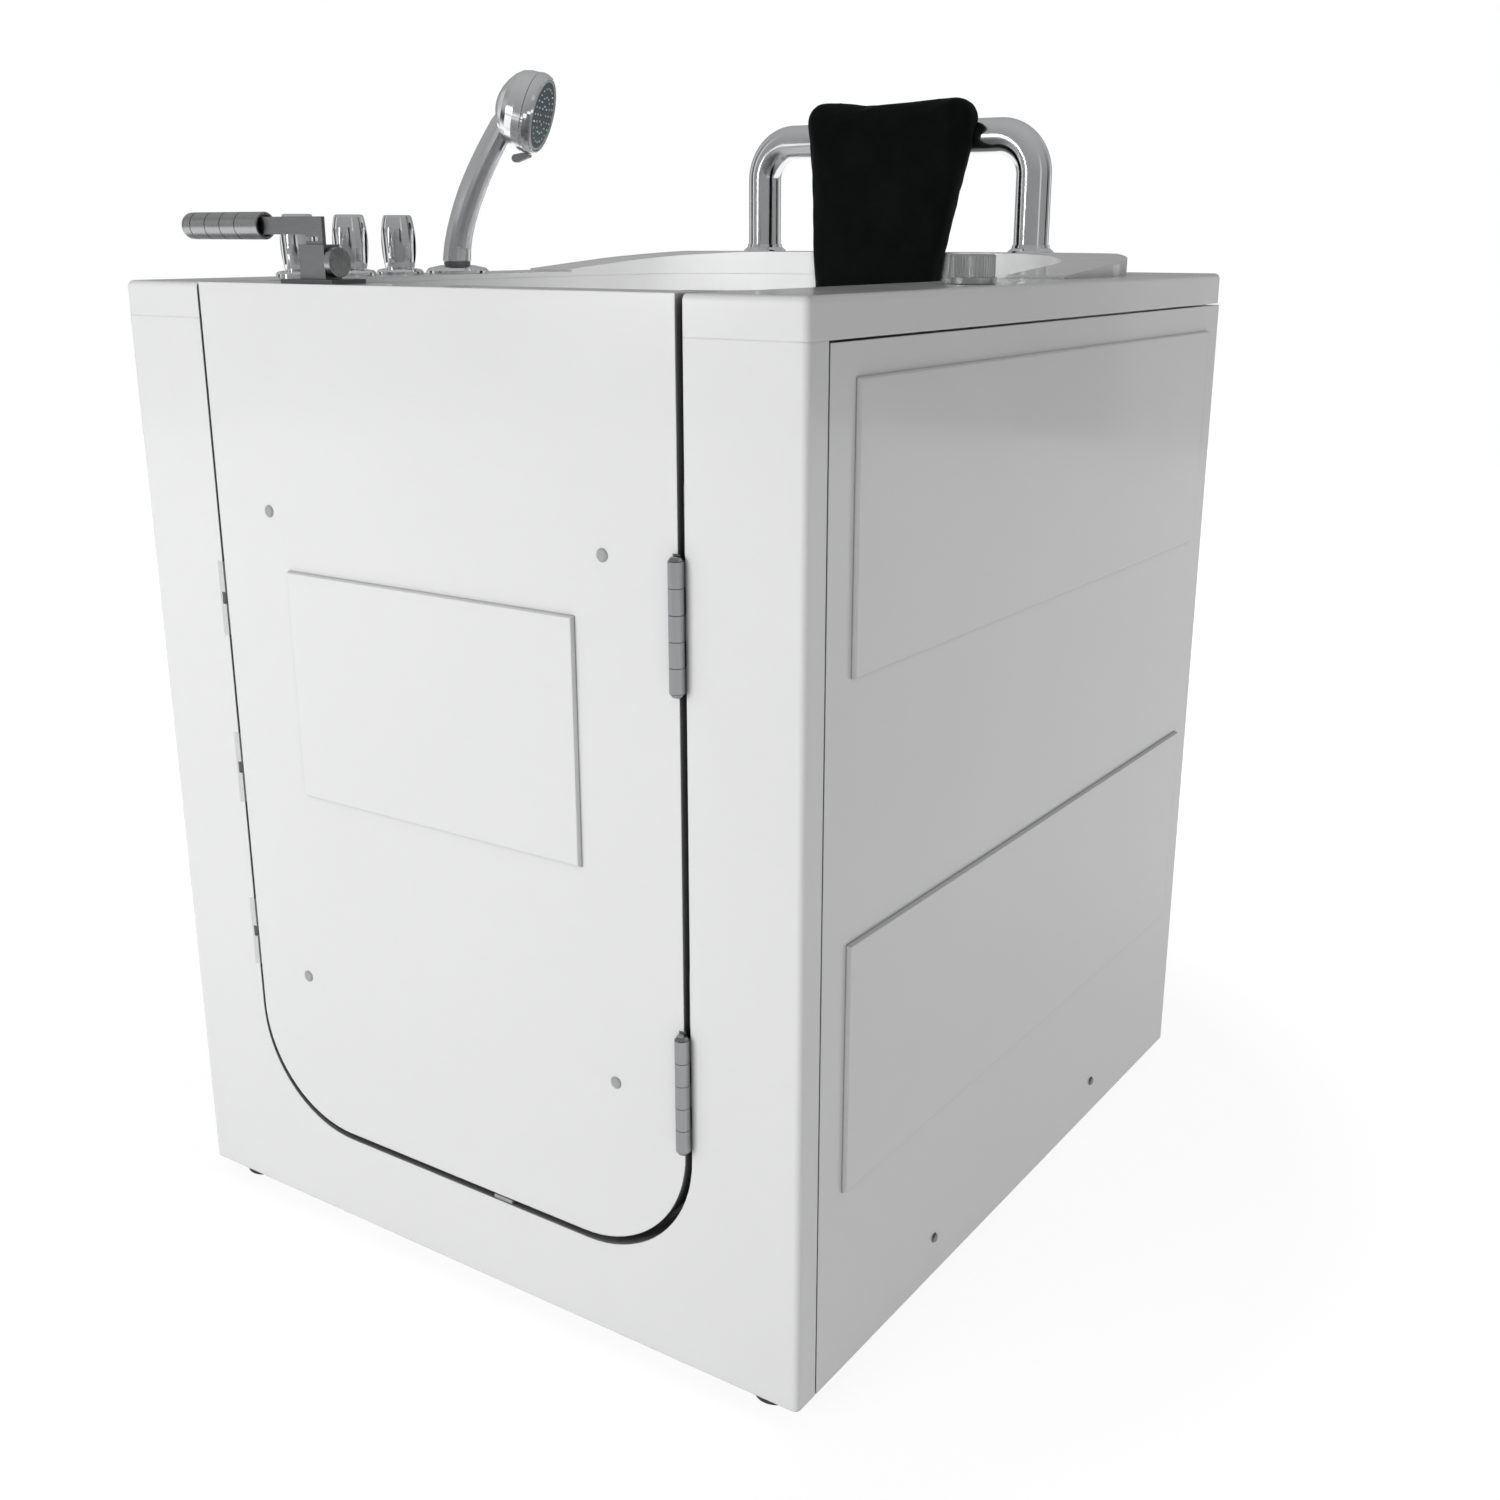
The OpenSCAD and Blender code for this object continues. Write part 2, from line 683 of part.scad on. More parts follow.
module foot_pads() color(rubber) at_feet() rotate_extrude($fn = 48) polygon([
  [0, 0], [foot_d / 2 - 1, 0], [foot_d / 2, 1], [foot_d / 2, 6], [foot_d / 2 - 4, 10],
  [12, 12], [12, 16], [0, 16]]);

module foot_studs() color(steel) at_feet() translate([0, 0, 16])
  cylinder(d = foot_stud_d, h = frame_z - 16);

module foot_locknuts() color(steel) at_feet() translate([0, 0, frame_z - 10])
  difference() {
    cylinder(d = foot_stud_d * 1.9, h = 10, $fn = 6);
    translate([0, 0, -1]) cylinder(d = foot_stud_d, h = 12);
  }

// ---------- waste ----------

plug_rod_d = 6;

drain_deep = 20;                             // depth of the drain body below the floor
waste_z = well_floor_z - 33.5;               // middle of the waste pipes
waste_d = 26;
waste_bore = 21;
spigot_l = 50;                               // waste pipe that goes into a socket
cup_z = -52;                                 // underside of the drain's cup, from the floor
module drain_body() color(chrome) translate([drain_x, drain_y, well_floor_z]) difference() {
  r = drain_d / 2;
  union() {
    rotate_extrude($fn = 64) polygon([
      [r + 2.5, -drain_deep], [r + 2.5, 0], [r + 11, 0], [r + 10, 2], [r, 2.6], [r - 3, 0],
      [r - 3, -drain_deep]]);
    translate([0, 0, -drain_deep]) cylinder(d = drain_d - 2, h = 3);
  }
  for (a = [0:60:300]) rotate(a) translate([drain_d * 0.27, 0, -drain_deep - 1]) cylinder(d = 8, h = 6);
  translate([0, 0, -drain_deep - 1]) cylinder(d = plug_rod_d + 1, h = 6);
}

module drain_pipe() color(plastic) translate([drain_x, drain_y, 0]) difference() {
  union() {
    translate([0, 0, well_floor_z + cup_z]) cylinder(d = drain_d - 4, h = -drain_deep - cup_z);
    translate([0, 0, waste_z]) rotate([-90, 0, 0]) cylinder(d = waste_d, h = back_y - drain_y - 14);
    // ring that stops the socket
    translate([0, back_y - drain_y - 14 - spigot_l - 3, waste_z]) rotate([-90, 0, 0])
      cylinder(d = waste_d + 5, h = 3);
  }
  translate([0, 0, well_floor_z + cup_z + 4]) cylinder(d = drain_d - 10, h = 40);
  translate([0, 8, waste_z]) rotate([-90, 0, 0]) cylinder(d = waste_bore, h = back_y - drain_y);
}

overflow_z = deck_z - 110;
overflow_face = basin_hw - basin_draft * 110 / (deck_z - well_floor_z);
module overflow_cover() color(chrome) translate([overflow_face - 1.5, drain_y, overflow_z])
  rotate([0, -90, 0]) difference() {
    union() {
      cylinder(d = 68, h = 5);
      translate([0, 0, 5 - eps]) cylinder(d1 = 64, d2 = 52, h = 4);
      translate([0, 0, -wall_t - 2.5]) cylinder(d = 28, h = wall_t + 3.5);
    }
    for (a = [0:45:315]) rotate(a) translate([20, 0, -10]) cylinder(d = 7, h = 30);
    translate([0, 0, -wall_t - 3.5]) cylinder(d = 22, h = wall_t + 6.5);
  }

overflow_x = overflow_face + wall_t + 17;
module overflow_pipe() color(plastic) translate([0, drain_y, 0]) difference() {
  union() {
    translate([overflow_x, 0, waste_z]) cylinder(d = 24, h = overflow_z - waste_z);
    for (z = [waste_z, overflow_z]) translate([overflow_x, 0, z]) sphere(d = 24);
    translate([overflow_face + wall_t + 1, 0, overflow_z]) rotate([0, 90, 0]) cylinder(d = 24, h = 16);
    translate([drain_x + drain_d / 2 - 1.6, 0, waste_z]) rotate([0, 90, 0])
      cylinder(d = 24, h = overflow_x - drain_x - drain_d / 2 + 1.6);
  }
  translate([overflow_x, 0, waste_z]) cylinder(d = 19, h = overflow_z - waste_z);
  translate([drain_x, 0, waste_z]) rotate([0, 90, 0]) cylinder(d = 19, h = overflow_x - drain_x);
  translate([overflow_face, 0, overflow_z]) rotate([0, 90, 0]) cylinder(d = 19, h = 23);
}

// cable from the drain knob down to the plug
cable_d = 6;
cable_points = [
  [drain_knob_x, drain_knob_y, deck_under - 20],
  [drain_knob_x, drain_knob_y, deck_under - 60],
  [drain_knob_x, drain_knob_y, 600],
  [drain_knob_x - 3, drain_knob_y - 3, 400],
  [drain_knob_x - 12, drain_knob_y - 10, 240],
  [drain_knob_x - 34, drain_knob_y - 20, 150],
  [drain_knob_x - 84, drain_knob_y - 34, 100],
  [drain_knob_x - 160, drain_knob_y - 44, 85],
  [drain_x + 120, drain_y + 74, 83],
  [drain_x + 70, drain_y + 60, 83],
  [drain_x + 40, drain_y + 40, 83],
  [drain_x + 15.75, drain_y + 15.75, 83]
];
module drain_cable() color(rubber) swept(cable_points, [for (p = cable_points) cable_d / 2], 8);

// ---------- taps ----------

module tap_flange() rotate_extrude($fn = 64) polygon([
  [9, 0], [tap_flange_d / 2, 0], [tap_flange_d / 2, 3], [tap_flange_d / 2 - 2, 5.4],
  [tap_d / 2 - 1, 6.6], [9, 6.6]]);

module tap_flanges() color(chrome) for (y = tap_ys) translate([tap_x, y, deck_z]) tap_flange();

module valve_bodies() color([0.72, 0.6, 0.34]) for (y = tap_ys) translate([tap_x, y, 0]) {
  translate([0, 0, deck_under - 66]) cylinder(d = 30, h = 60);
  translate([0, 0, deck_under - 6]) difference() {
    cylinder(d = 42, h = 6, $fn = 6);
    translate([0, 0, -1]) cylinder(d = 28, h = 8);
  }
  translate([0, 0, deck_under - 6 - eps]) cylinder(d = 28, h = wall_t + 6);
  translate([0, 0, deck_z - eps]) cylinder(d = 12, h = 26);
}

supply_d = 15;
supply_low = 300;                            // lower end of the supply pipes
supply_grip = 40;                            // length that goes into a connector
module supply_pipes() color([0.72, 0.45, 0.3]) {
  for (y = [tap_ys[0], tap_ys[2]]) translate([tap_x, y, supply_low]) {
    cylinder(d = supply_d, h = deck_under - 66 - supply_low);
    translate([0, 0, supply_grip]) cylinder(d = supply_d + 4, h = 3);
  }
  for (i = [0, 1]) translate([tap_x, tap_ys[i] + 14, deck_under - 30]) rotate([-90, 0, 0])
    cylinder(d = supply_d, h = tap_pitch - 28);
}

spout_z = deck_z - 56;
spout_face = -basin_hw + basin_draft * 56 / (deck_z - well_floor_z);
module inlet_spout() color(chrome) translate([0, tap_ys[1], spout_z]) difference() {
  union() {
    translate([spout_face + 1, 0, 0]) rotate([0, 90, 0]) cylinder(d = 50, h = 5);
    translate([spout_face - 12, 0, 0]) rotate([0, 90, 0]) cylinder(d = 28, h = 44);
    translate([tap_x + 14, 0, 0]) rotate([0, 90, 0]) cylinder(d = 15, h = spout_face - tap_x - 14);
  }
  translate([spout_face - 6, 0, 0]) rotate([0, 90, 0]) cylinder(d = 22, h = 60);
}

// barrel-shaped handle with hollow flutes round its belly
module tap_handle() {
  top_r = tap_d * 0.42;
  belly = tap_d / 2;
  n = 10;
  side = [for (i = [0:n]) let (a = -1 + 2 * i / n)
    [belly - (belly - top_r) * a * a, 7.2 + (tap_h - 10) * i / n]];
  difference() {
    rotate_extrude($fn = 64) polygon(concat([[0, 7.2]], side,
      [[top_r - 0.8, tap_h - 0.8], [top_r - 2.6, tap_h], [0, tap_h]]));
    for (a = [0:60:300]) rotate(a + 15) translate([belly + 22, 0, tap_h / 2 + 3]) rotate([0, 3, 0])
      cylinder(r = 24, h = tap_h - 18, center = true, $fn = 96);
    translate([0, 0, 6]) cylinder(d = 12 + 2 * running, h = 24);
  }
}
module hot_knob() color(chrome) translate([tap_x, tap_ys[0], deck_z]) tap_handle();
module diverter_knob() color(chrome) translate([tap_x, tap_ys[1], deck_z]) tap_handle();
module cold_knob() color(chrome) translate([tap_x, tap_ys[2], deck_z]) tap_handle();

module drain_knob() color(steel) translate([drain_knob_x, drain_knob_y, deck_z]) {
  teeth = 48;
  r = drain_knob_d / 2;
  translate([0, 0, 6]) linear_extrude(19.5) polygon([for (i = [0:2 * teeth - 1])
    (i % 2 == 0 ? r : r - 0.7) * [cos(180 * i / teeth), sin(180 * i / teeth)]]);
  translate([0, 0, 25.5 - eps]) cylinder(r1 = r - 0.8, r2 = r - 2, h = 1.2);
  translate([0, 0, 0.4]) cylinder(d = drain_knob_d + 3, h = 5.6 + eps);
  translate([0, 0, -wall_t - 20]) cylinder(d = 16, h = 27);
}

module drain_plug() color(chrome) translate([drain_x, drain_y, well_floor_z]) {
  r = drain_d / 2 - 3.6;
  rotate_extrude($fn = 64) polygon([
    [0, 0.6], [r - 0.5, 0.6], [r, 1.4], [r - 0.2, 3], [r * 0.6, 4.6], [0, 5]]);
  translate([0, 0, -36]) cylinder(d = plug_rod_d, h = 37);
}

// ---------- handset ----------

module handset_holder() color(chrome) translate([handset_x, handset_y, 0]) difference() {
  rotate_extrude($fn = 64) polygon([
    [0, deck_under - 40], [17, deck_under - 40], [17, deck_z], [holder_d / 2, deck_z],
    [holder_d / 2, deck_z + 3], [holder_d / 2 - 3, deck_z + 6], [handle_d / 2 + 3, deck_z + 9],
    [0, deck_z + 9]]);
  translate([0, 0, deck_under - 41]) cylinder(d = swivel_d + 2 * running, h = 60 + wall_t);
}

// collar that turns in the holder and carries the handset
swivel_d = 29;
collar_bore = 25;
module handset_collar() color(rubber) translate([handset_x, handset_y, 0]) difference() {
  union() {
    translate([0, 0, deck_under - 36]) cylinder(d = swivel_d, h = wall_t + 46);
    translate([0, 0, deck_z + 9 + play]) cylinder(d = handle_d - 2, h = 4);
    translate([0, 0, deck_under - 44]) cylinder(d = swivel_d - 6, h = 9);
  }
  translate([0, 0, deck_under - 30]) cylinder(d = collar_bore, h = 60);
  translate([0, 0, deck_under - 45]) cylinder(d = 15, h = 30);
}

// the spray looks over the basin and a little back, below the level
spray_yaw = 24;
head_tilt = 106;                             // the spray's direction from straight up
handset_z = deck_z + 13 + 2 * play;
head_at = [handle_out + 36, 0, handle_l + 14]; // middle of the spray ring from the handle's foot
handle_foot = 2;                             // the handle starts straight up
function handle_point(t) = [handle_out * pow(t, 1.58), 0, handle_foot + (handle_l - handle_foot) * t];
function handle_r(i) = handle_d / 2 * (1 - 0.08 * sin(90 * min(1, i / 3)) - 0.013 * max(0, i - 5));
// the last two points taper away inside the head
handle_points = concat([[0, 0, 0]], [for (i = [0:10]) handle_point(i / 10)],
  [[handle_out + 7, 0, handle_l + 11], [handle_out + 14, 0, handle_l + 20]]);
handle_radii = concat([handle_d / 2], [for (i = [0:10]) handle_r(i)], [handle_d * 0.36, handle_d * 0.2]);

module at_handset() translate([handset_x, handset_y, handset_z]) rotate([0, 0, spray_yaw]) children();
module at_head() at_handset() translate(head_at) rotate([0, head_tilt, 0]) children();

module handset_body() color(chrome) {
  at_handset() {
    swept(handle_points, handle_radii, 20);
    translate([0, 0, -34]) rotate(11) cylinder(d = collar_bore - 2 * play, h = 34 + 6);
  }
  r = head_d / 2;
  at_head() rotate(97) rotate_extrude($fn = 64) polygon([
    [0, -42.5], [r * 0.17, -41.6], [r * 0.34, -39], [r * 0.5, -35.6], [r * 0.66, -30.8],
    [r * 0.82, -24.6], [r * 0.93, -17.6], [r - 1, -9], [r - 0.6, 0], [r - 0.6, 1], [0, 1]]);
}

// ring, face and tab turn together to choose the spray
module handset_ring() color(chrome) at_head() {
  r = head_d / 2;
  rotate_extrude($fn = 64) polygon([
    [r - 12, 1.8], [r, 1.8], [r + 0.2, 4.5], [r - 0.6, 8.5], [r - 2.2, 12], [r - 3.8, 13.8],
    [r - 5.2, 13.6], [r - 5.6, 11], [r - 12, 11]]);
}

module spray_face() color([0.2, 0.25, 0.3]) at_head() difference() {
  r = head_d / 2;
  union() {
    translate([0, 0, 1.4]) cylinder(r = r - 12.1, h = 10);
    translate([0, 0, 11 + eps]) cylinder(r = r - 6, h = 2);
  }
  for (ring = [1:3], a = [0:360 / (8 * ring):359]) rotate(a) translate([ring * r * 0.22, 0, 11.2])
    cylinder(d = 2, h = 3, $fn = 4);
}

module spray_tab() color(plastic) at_head() difference() {
  r = head_d / 2;
  hull() {
    translate([r - 1, -5, 3]) cube([4, 10, 6]);
    translate([r + 8.5, 0, -6]) rotate([90, 0, 0]) cylinder(d = 9, h = 11, center = true, $fn = 24);
  }
  translate([0, 0, -20]) cylinder(r = r + 0.45, h = 40);
}

// ---------- grab bar ----------

module bar_path(d) {
  for (s = [-1, 1]) translate([bar_x + s * bar_span / 2, bar_y, 0]) {
    translate([0, 0, bar_foot_z + 2.4]) cylinder(d = d, h = bar_axis_z - bar_bend - bar_foot_z - 2.4);
    translate([-s * bar_bend, 0, bar_axis_z - bar_bend]) intersection() {
      rotate([90, 0, 0]) rotate_extrude($fn = 96) translate([bar_bend, 0]) circle(d = d, $fn = 48);
      translate([s > 0 ? 0 : -2 * bar_bend, -bar_bend, 0]) cube(2 * bar_bend);
    }
  }
  translate([bar_x - bar_span / 2 + bar_bend, bar_y, bar_axis_z]) rotate([0, 90, 0])
    cylinder(d = d, h = bar_span - 2 * bar_bend);
}

// legs, bends and top are welded end to end
module grab_bar() color(chrome) {
  difference() {
    bar_path(bar_d);
    bar_path(bar_d - 2 * bar_wall);
  }
  for (s = [-1, 1]) {
    translate([bar_x + s * bar_span / 2, bar_y, bar_axis_z - bar_bend]) bar_weld();
    translate([bar_x + s * (bar_span / 2 - bar_bend), bar_y, bar_axis_z]) rotate([0, 90, 0]) bar_weld();
  }
}
module bar_weld() tube_z(bar_d - bar_wall * 0.7, bar_d - bar_wall * 1.3, -1, 1);

module grab_bar_flanges() color(chrome) for (s = [-1, 1])
  translate([bar_x + s * bar_span / 2, bar_y, bar_foot_z]) {
    rotate_extrude($fn = 64) polygon([
      [0, 0], [bar_d / 2 + 7, 0], [bar_d / 2 + 6, 2], [bar_d / 2 + 2, 5], [bar_d / 2 + 1.2, 9],
      [bar_d / 2 + 0.05, 9], [bar_d / 2 + 0.05, 2.4], [0, 2.4]]);
    translate([0, 0, -collar_top - wall_t - 22]) cylinder(d = 12, h = collar_top + wall_t + 22 + eps);
  }

module grab_bar_nuts() color(steel) for (s = [-1, 1])
  translate([bar_x + s * bar_span / 2, bar_y, deck_under - 12]) difference() {
    union() {
      cylinder(d = 19, h = 10, $fn = 6);
      translate([0, 0, 10 - eps]) cylinder(d = 34, h = 2);
    }
    translate([0, 0, -1]) cylinder(d = 12, h = 14);
  }

// ---------- headrest ----------

rest_back = -(bar_d / 2 + 2.5);              // back of the headrest from the bar's axis
rest_high = rest_top_h - bar_h;
rest_foot = -bar_h - rest_low;

module at_rest() translate([rest_x, bar_y, bar_axis_z]) rotate([-rest_tilt, 0, 0]) children();

// right half of the outline from the foot to the middle of the top edge
function rest_half() =
  let (w = rest_top_w / 2, f = rest_foot_w / 2, ear = 20, toe = 16)
  concat(
    [for (i = [0:4]) [f - toe + toe * sin(22.5 * i), rest_foot + toe - toe * cos(22.5 * i)]],
    [for (i = [1:3]) let (t = i / 4)
      [f + (w - f) * t, rest_foot + toe + (rest_high - ear - rest_foot - toe) * t]],
    [for (i = [0:5]) [w - ear + ear * cos(21 * i), rest_high - ear + ear * sin(21 * i)]],
    [for (i = [1:4]) let (u = 1 - i / 4)
      [u * (w - 1.4 * ear), rest_high - rest_dip * (1 - u * u) - 1]]);

// the whole outline, drawn in on every side
function rest_outline(inset) =
  let (half = rest_half(), n = len(half), mid = (rest_high + rest_foot) / 2,
    kx = 1 - 2 * inset / rest_top_w, kz = 1 - 2 * inset / (rest_high - rest_foot))
  [for (p = concat(half, [for (i = [n - 2:-1:0]) [-half[i].x, half[i].y]]))
    [p.x * kx, mid + (p.y - mid) * kz]];

// how far forward each ring of the cushion lies, and how far it is drawn in
rest_layers = [[0, 7], [0.04, 3], [0.14, 0.8], [0.34, 0], [0.55, 0.8], [0.7, 3.5], [0.82, 8.5],
  [0.91, 17], [0.97, 34], [0.995, 64]];

module headrest() color(black) at_rest()
  loft([for (l = rest_layers) [for (p = rest_outline(l[1])) [p.x, rest_back - l[0] * rest_t, p.y]]],
    [0, rest_back, (rest_high + rest_foot) / 2],
    [0, rest_back - rest_t, (rest_high + rest_foot) / 2]);

clip_w = 22;
module headrest_clips() color(plastic) at_rest() for (s = [-1, 1]) translate([s * 62, 0, 0])
  rotate([0, 90, 0]) difference() {
    cylinder(d = bar_d + 9, h = clip_w, center = true, $fn = 96);
    cylinder(d = bar_d + 2 * play, h = clip_w + 2, center = true, $fn = 96);
    // flat against the cushion, and open at the back
    translate([-60, rest_back - 60, -clip_w]) cube([120, 60, 2 * clip_w]);
    translate([-bar_d * 0.4, 0, -clip_w]) cube([bar_d * 0.8, 60, 2 * clip_w]);
  }

// ---------- hinges ----------

knuckles = 5;
leaf_h = hinge_l + leaf_over;
leaf_reach = 36;                             // depth of the leaves behind the face
pin_head = 3;
hinge_room = 1.5;                            // radial room for the barrel in the door's edge
leaf_front = hinge_d / 2 + 0.3;              // front of the leaves, behind the knuckles
function knuckle_z(i) = -hinge_l / 2 + i * hinge_l / knuckles;
module hinge_knuckles(which) for (i = which) translate([0, 0, knuckle_z(i) + play / 2])
  cylinder(d = hinge_d, h = hinge_l / knuckles - play);

module jamb_hinge_leaves() color(steel) for (z = hinge_zs) translate([hinge_x, hinge_y, z]) difference() {
  union() {
    hinge_knuckles([0, 2, 4]);
    for (i = [0, 2, 4]) translate([0, 0, knuckle_z(i) + play / 2])
      cube([open_x1 - hinge_x, leaf_front + 0.5, hinge_l / knuckles - play]);
    translate([open_x1 - hinge_x - leaf_t, leaf_front, -hinge_l / 2])
      cube([leaf_t, leaf_reach, leaf_h]);
  }
  translate([0, 0, -hinge_l]) cylinder(d = hinge_pin_d, h = 2 * hinge_l);
}

module door_hinge_leaves() color(steel) for (z = hinge_zs) translate([hinge_x, hinge_y, z]) difference() {
  union() {
    hinge_knuckles([1, 3]);
    for (i = [1, 3]) translate([leaf_x1 - hinge_x + 0.3, 0, knuckle_z(i) + play / 2])
      cube([leaf_t, leaf_front + 4, hinge_l / knuckles - play]);
    translate([leaf_x1 - hinge_x, leaf_front + 1.2, -hinge_l / 2])
      cube([leaf_t * 0.6, leaf_reach, hinge_l]);
  }
  translate([0, 0, -hinge_l]) cylinder(d = hinge_pin_d + 2 * running, h = 2 * hinge_l);
}

module hinge_pins() color(steel) for (z = hinge_zs) translate([hinge_x, hinge_y, z]) {
  translate([0, 0, -hinge_l / 2 - 1]) cylinder(d = hinge_pin_d, h = hinge_l + 2);
  for (s = [0, 1]) mirror([0, 0, s]) translate([0, 0, hinge_l / 2 + 0.2])
    cylinder(d1 = hinge_d - 1, d2 = hinge_d - 5, h = pin_head);
}

// room for the barrels in the edge of the door
module hinge_reliefs() for (z = hinge_zs) translate([hinge_x, hinge_y, z])
  cylinder(r = hinge_d / 2 + hinge_room, h = hinge_l + 2 * pin_head + 3, center = true);

// ---------- keepers and sill ----------

groove = 5;
module keepers() color(light_grey) for (z = keeper_zs) difference() {
  translate([open_x0 - keeper_w, front_y, z - keeper_h / 2]) cube([keeper_w, keeper_d, keeper_h]);
  // the stud drops down this groove and is held behind the lip
  translate([open_x0 - groove, latch_bar_y - stud_d / 2 - 1, z - latch_travel - stud_d / 2 - 2])
    cube([groove + 1, stud_d + 3, latch_travel + stud_d + 4]);
  translate([open_x0 - groove, front_y - 1, z - stud_d / 2 - 1.5])
    cube([groove + 1, latch_bar_y - front_y + 2, stud_d + 3.5]);
}

keeper_screw_d = 5;
keeper_screw_l = 9;
module at_keeper_screws() for (z = keeper_zs, s = [-1, 1])
  translate([open_x0 - keeper_w - keeper_screw_l, front_y + keeper_d - 8, z + s * (keeper_h / 2 - 9)])
    rotate([0, 90, 0]) children();

module keeper_screws() color(steel) at_keeper_screws() cylinder(d = keeper_screw_d, h = keeper_screw_l);

sill_plate_size = [24, 40, 4];
sill_plate_x = door_x + sill_plate_size.y;
module sill_plate() color(light_grey)
  translate([sill_plate_x, front_y + 2, sill_z]) cube(sill_plate_size);

// ---------- door ----------

module door_solid(inset, y0, y1) {
  difference() {
    along_y(y0, y1) door_profile(leaf_x0 + inset, leaf_x1 - inset, leaf_z0 + inset,
      deck_z - inset, leaf_r - inset);
    // bevel along the latch edge
    translate([leaf_x0 + inset, front_y + 14, 0]) rotate([0, 0, -latch_bevel])
      translate([-40, 0, 0]) cube([40, 100, deck_z + 100]);
  }
}

module stud_slots() for (z = keeper_zs)
  hull() for (dz = [1.5, -latch_travel - 1.5]) translate([leaf_x0 - 5, latch_bar_y, z + dz])
    rotate([0, 90, 0]) cylinder(d = stud_d + 2, h = 20, $fn = 24);

pad_x = door_x - 10;                         // middle of the raised rectangle
pad_slope = 1.5;
module door_outer() color(white) difference() {
  union() {
    difference() {
      door_solid(0, front_y, door_inner_y - door_skin);
      door_solid(door_skin, front_y + door_skin, door_inner_y);
    }
    translate([pad_x - pad_w / 2, 0, skirt_gap + pad_z - pad_h / 2]) hull() {
      along_y(front_y - 1, front_y + 1) square([pad_w, pad_h]);
      along_y(front_y - pad_proud, front_y + 1)
        translate([pad_slope, pad_slope]) square([pad_w - 2 * pad_slope, pad_h - 2 * pad_slope]);
    }
  }
  stud_slots();
  strap_slot();
  hinge_reliefs();
}

module door_inner() color(white) door_solid(0, door_inner_y - door_skin, door_inner_y);

module door_seal() color(rubber) along_y(door_inner_y, door_inner_y + seal_t) difference() {
  out = seal_w + seal_lip;
  door_profile(way_x0 - out, way_x0 + way_w + out, way_z - out, deck_under - 2, way_r + out);
  door_profile(way_x0 - seal_lip, way_x0 + way_w + seal_lip, way_z - seal_lip, deck_z, way_r + seal_lip);
}

cap_xs = [open_x0 + cap_left, open_x1 - cap_right];
cap_zs = [skirt_gap + cap_top_z, skirt_gap + cap_low_z];
module door_caps() color(light_grey) for (x = cap_xs, z = cap_zs) translate([x, front_y, z])
  rotate([90, 0, 0]) rotate_extrude($fn = 48) polygon([
    [0, 0], [cap_d / 2, 0], [cap_d / 2, 0.6], [cap_d / 2 - 1.5, 1.8], [0, 2.4]]);

// ---------- latch ----------

plate_w = 70;
plate_d = 42;
plate_x0 = latch_x - 36;
strap_y0 = axle_y + hub_d / 2 + 1.2;         // front of the strap that the cranks drive
strap_d = 12;
module strap_slot() translate([latch_x - strap_w / 2 - 1, strap_y0 - 1, deck_z - 20])
  cube([strap_w + 2, strap_d + 2, 40]);

module latch_plate() color(steel) difference() {
  translate([plate_x0, axle_y - 18, deck_z]) cube([plate_w, plate_d, latch_base_t]);
  strap_slot();
  for (x = [plate_x0 + 7, plate_x0 + plate_w - 7], y = [axle_y - 11, axle_y + 17])
    translate([x, y, deck_z - 1]) cylinder(d = 4.5, h = 10);
}

// block open at the back and the top for the lever's hub
module latch_housing() color(steel) translate([latch_x, axle_y, 0]) difference() {
  translate([-housing_w / 2, -housing_d / 2, deck_z + latch_base_t]) cube([housing_w, housing_d, housing_h]);
  translate([-hub_w / 2 - play, -hub_d / 2 - play, deck_z + latch_base_t - 1])
    cube([hub_w + 2 * play, 40, 60]);
  translate([0, 0, axle_z]) rotate([0, 90, 0])
    cylinder(d = axle_d + 2 * running, h = 80, center = true);
}

module latch_axle() color(steel) translate([latch_x, axle_y, axle_z]) rotate([0, 90, 0]) {
  translate([0, 0, -housing_w / 2 - 3]) cylinder(d = axle_d, h = housing_w + 6);
  translate([0, 0, housing_w / 2 + 2.5]) cylinder(d = axle_head_d, h = 7);
  translate([0, 0, -housing_w / 2 - 5]) cylinder(d = 13, h = 4.4);
}

grip_x1 = latch_x - 72;                      // right end of the grip
grip_up = grip_h - axle_h;                   // the grip's middle above the axle
bar_depth = 16;
arm_y = -5;                                  // front of the arm, ahead of the strap
module latch_lever() color(steel) translate([latch_x, axle_y, axle_z]) difference() {
  arm_x0 = -hub_w / 2;
  arm_x1 = hub_w / 2 - 1;
  union() {
    rotate([0, 90, 0]) cylinder(d = hub_d, h = hub_w, center = true);
    translate([arm_x0, arm_y, 0]) cube([arm_x1 - arm_x0, arm_t, grip_up + bar_depth / 2]);
    // flat bar that carries the grip
    translate([grip_x1 - latch_x - 30, arm_y, grip_up - bar_depth / 2])
      cube([latch_x + arm_x1 - grip_x1 + 30, arm_t, bar_depth]);
    // two cranks with the pin that drives the strap
    rotate([lever_swing / 2 - 90, 0, 0]) {
      for (s = [-1, 1]) translate([s * (strap_w / 2 + 2.8) - 2, 0, 0]) {
        translate([0, -3.5, 0]) cube([4, 7, crank_r]);
        translate([0, 0, crank_r]) rotate([0, 90, 0]) cylinder(d = 7, h = 4);
      }
      translate([-strap_w / 2 - 4.8, 0, crank_r]) rotate([0, 90, 0]) cylinder(d = pin_d, h = strap_w + 9.6);
    }
  }
  // light slit between the hub and the bar
  translate([arm_x0 - 1, -10, housing_h + latch_base_t - axle_h + 3]) cube([arm_x1 - arm_x0 - 6, 20, 4]);
  rotate([0, 90, 0]) cylinder(d = axle_d, h = 80, center = true);
}

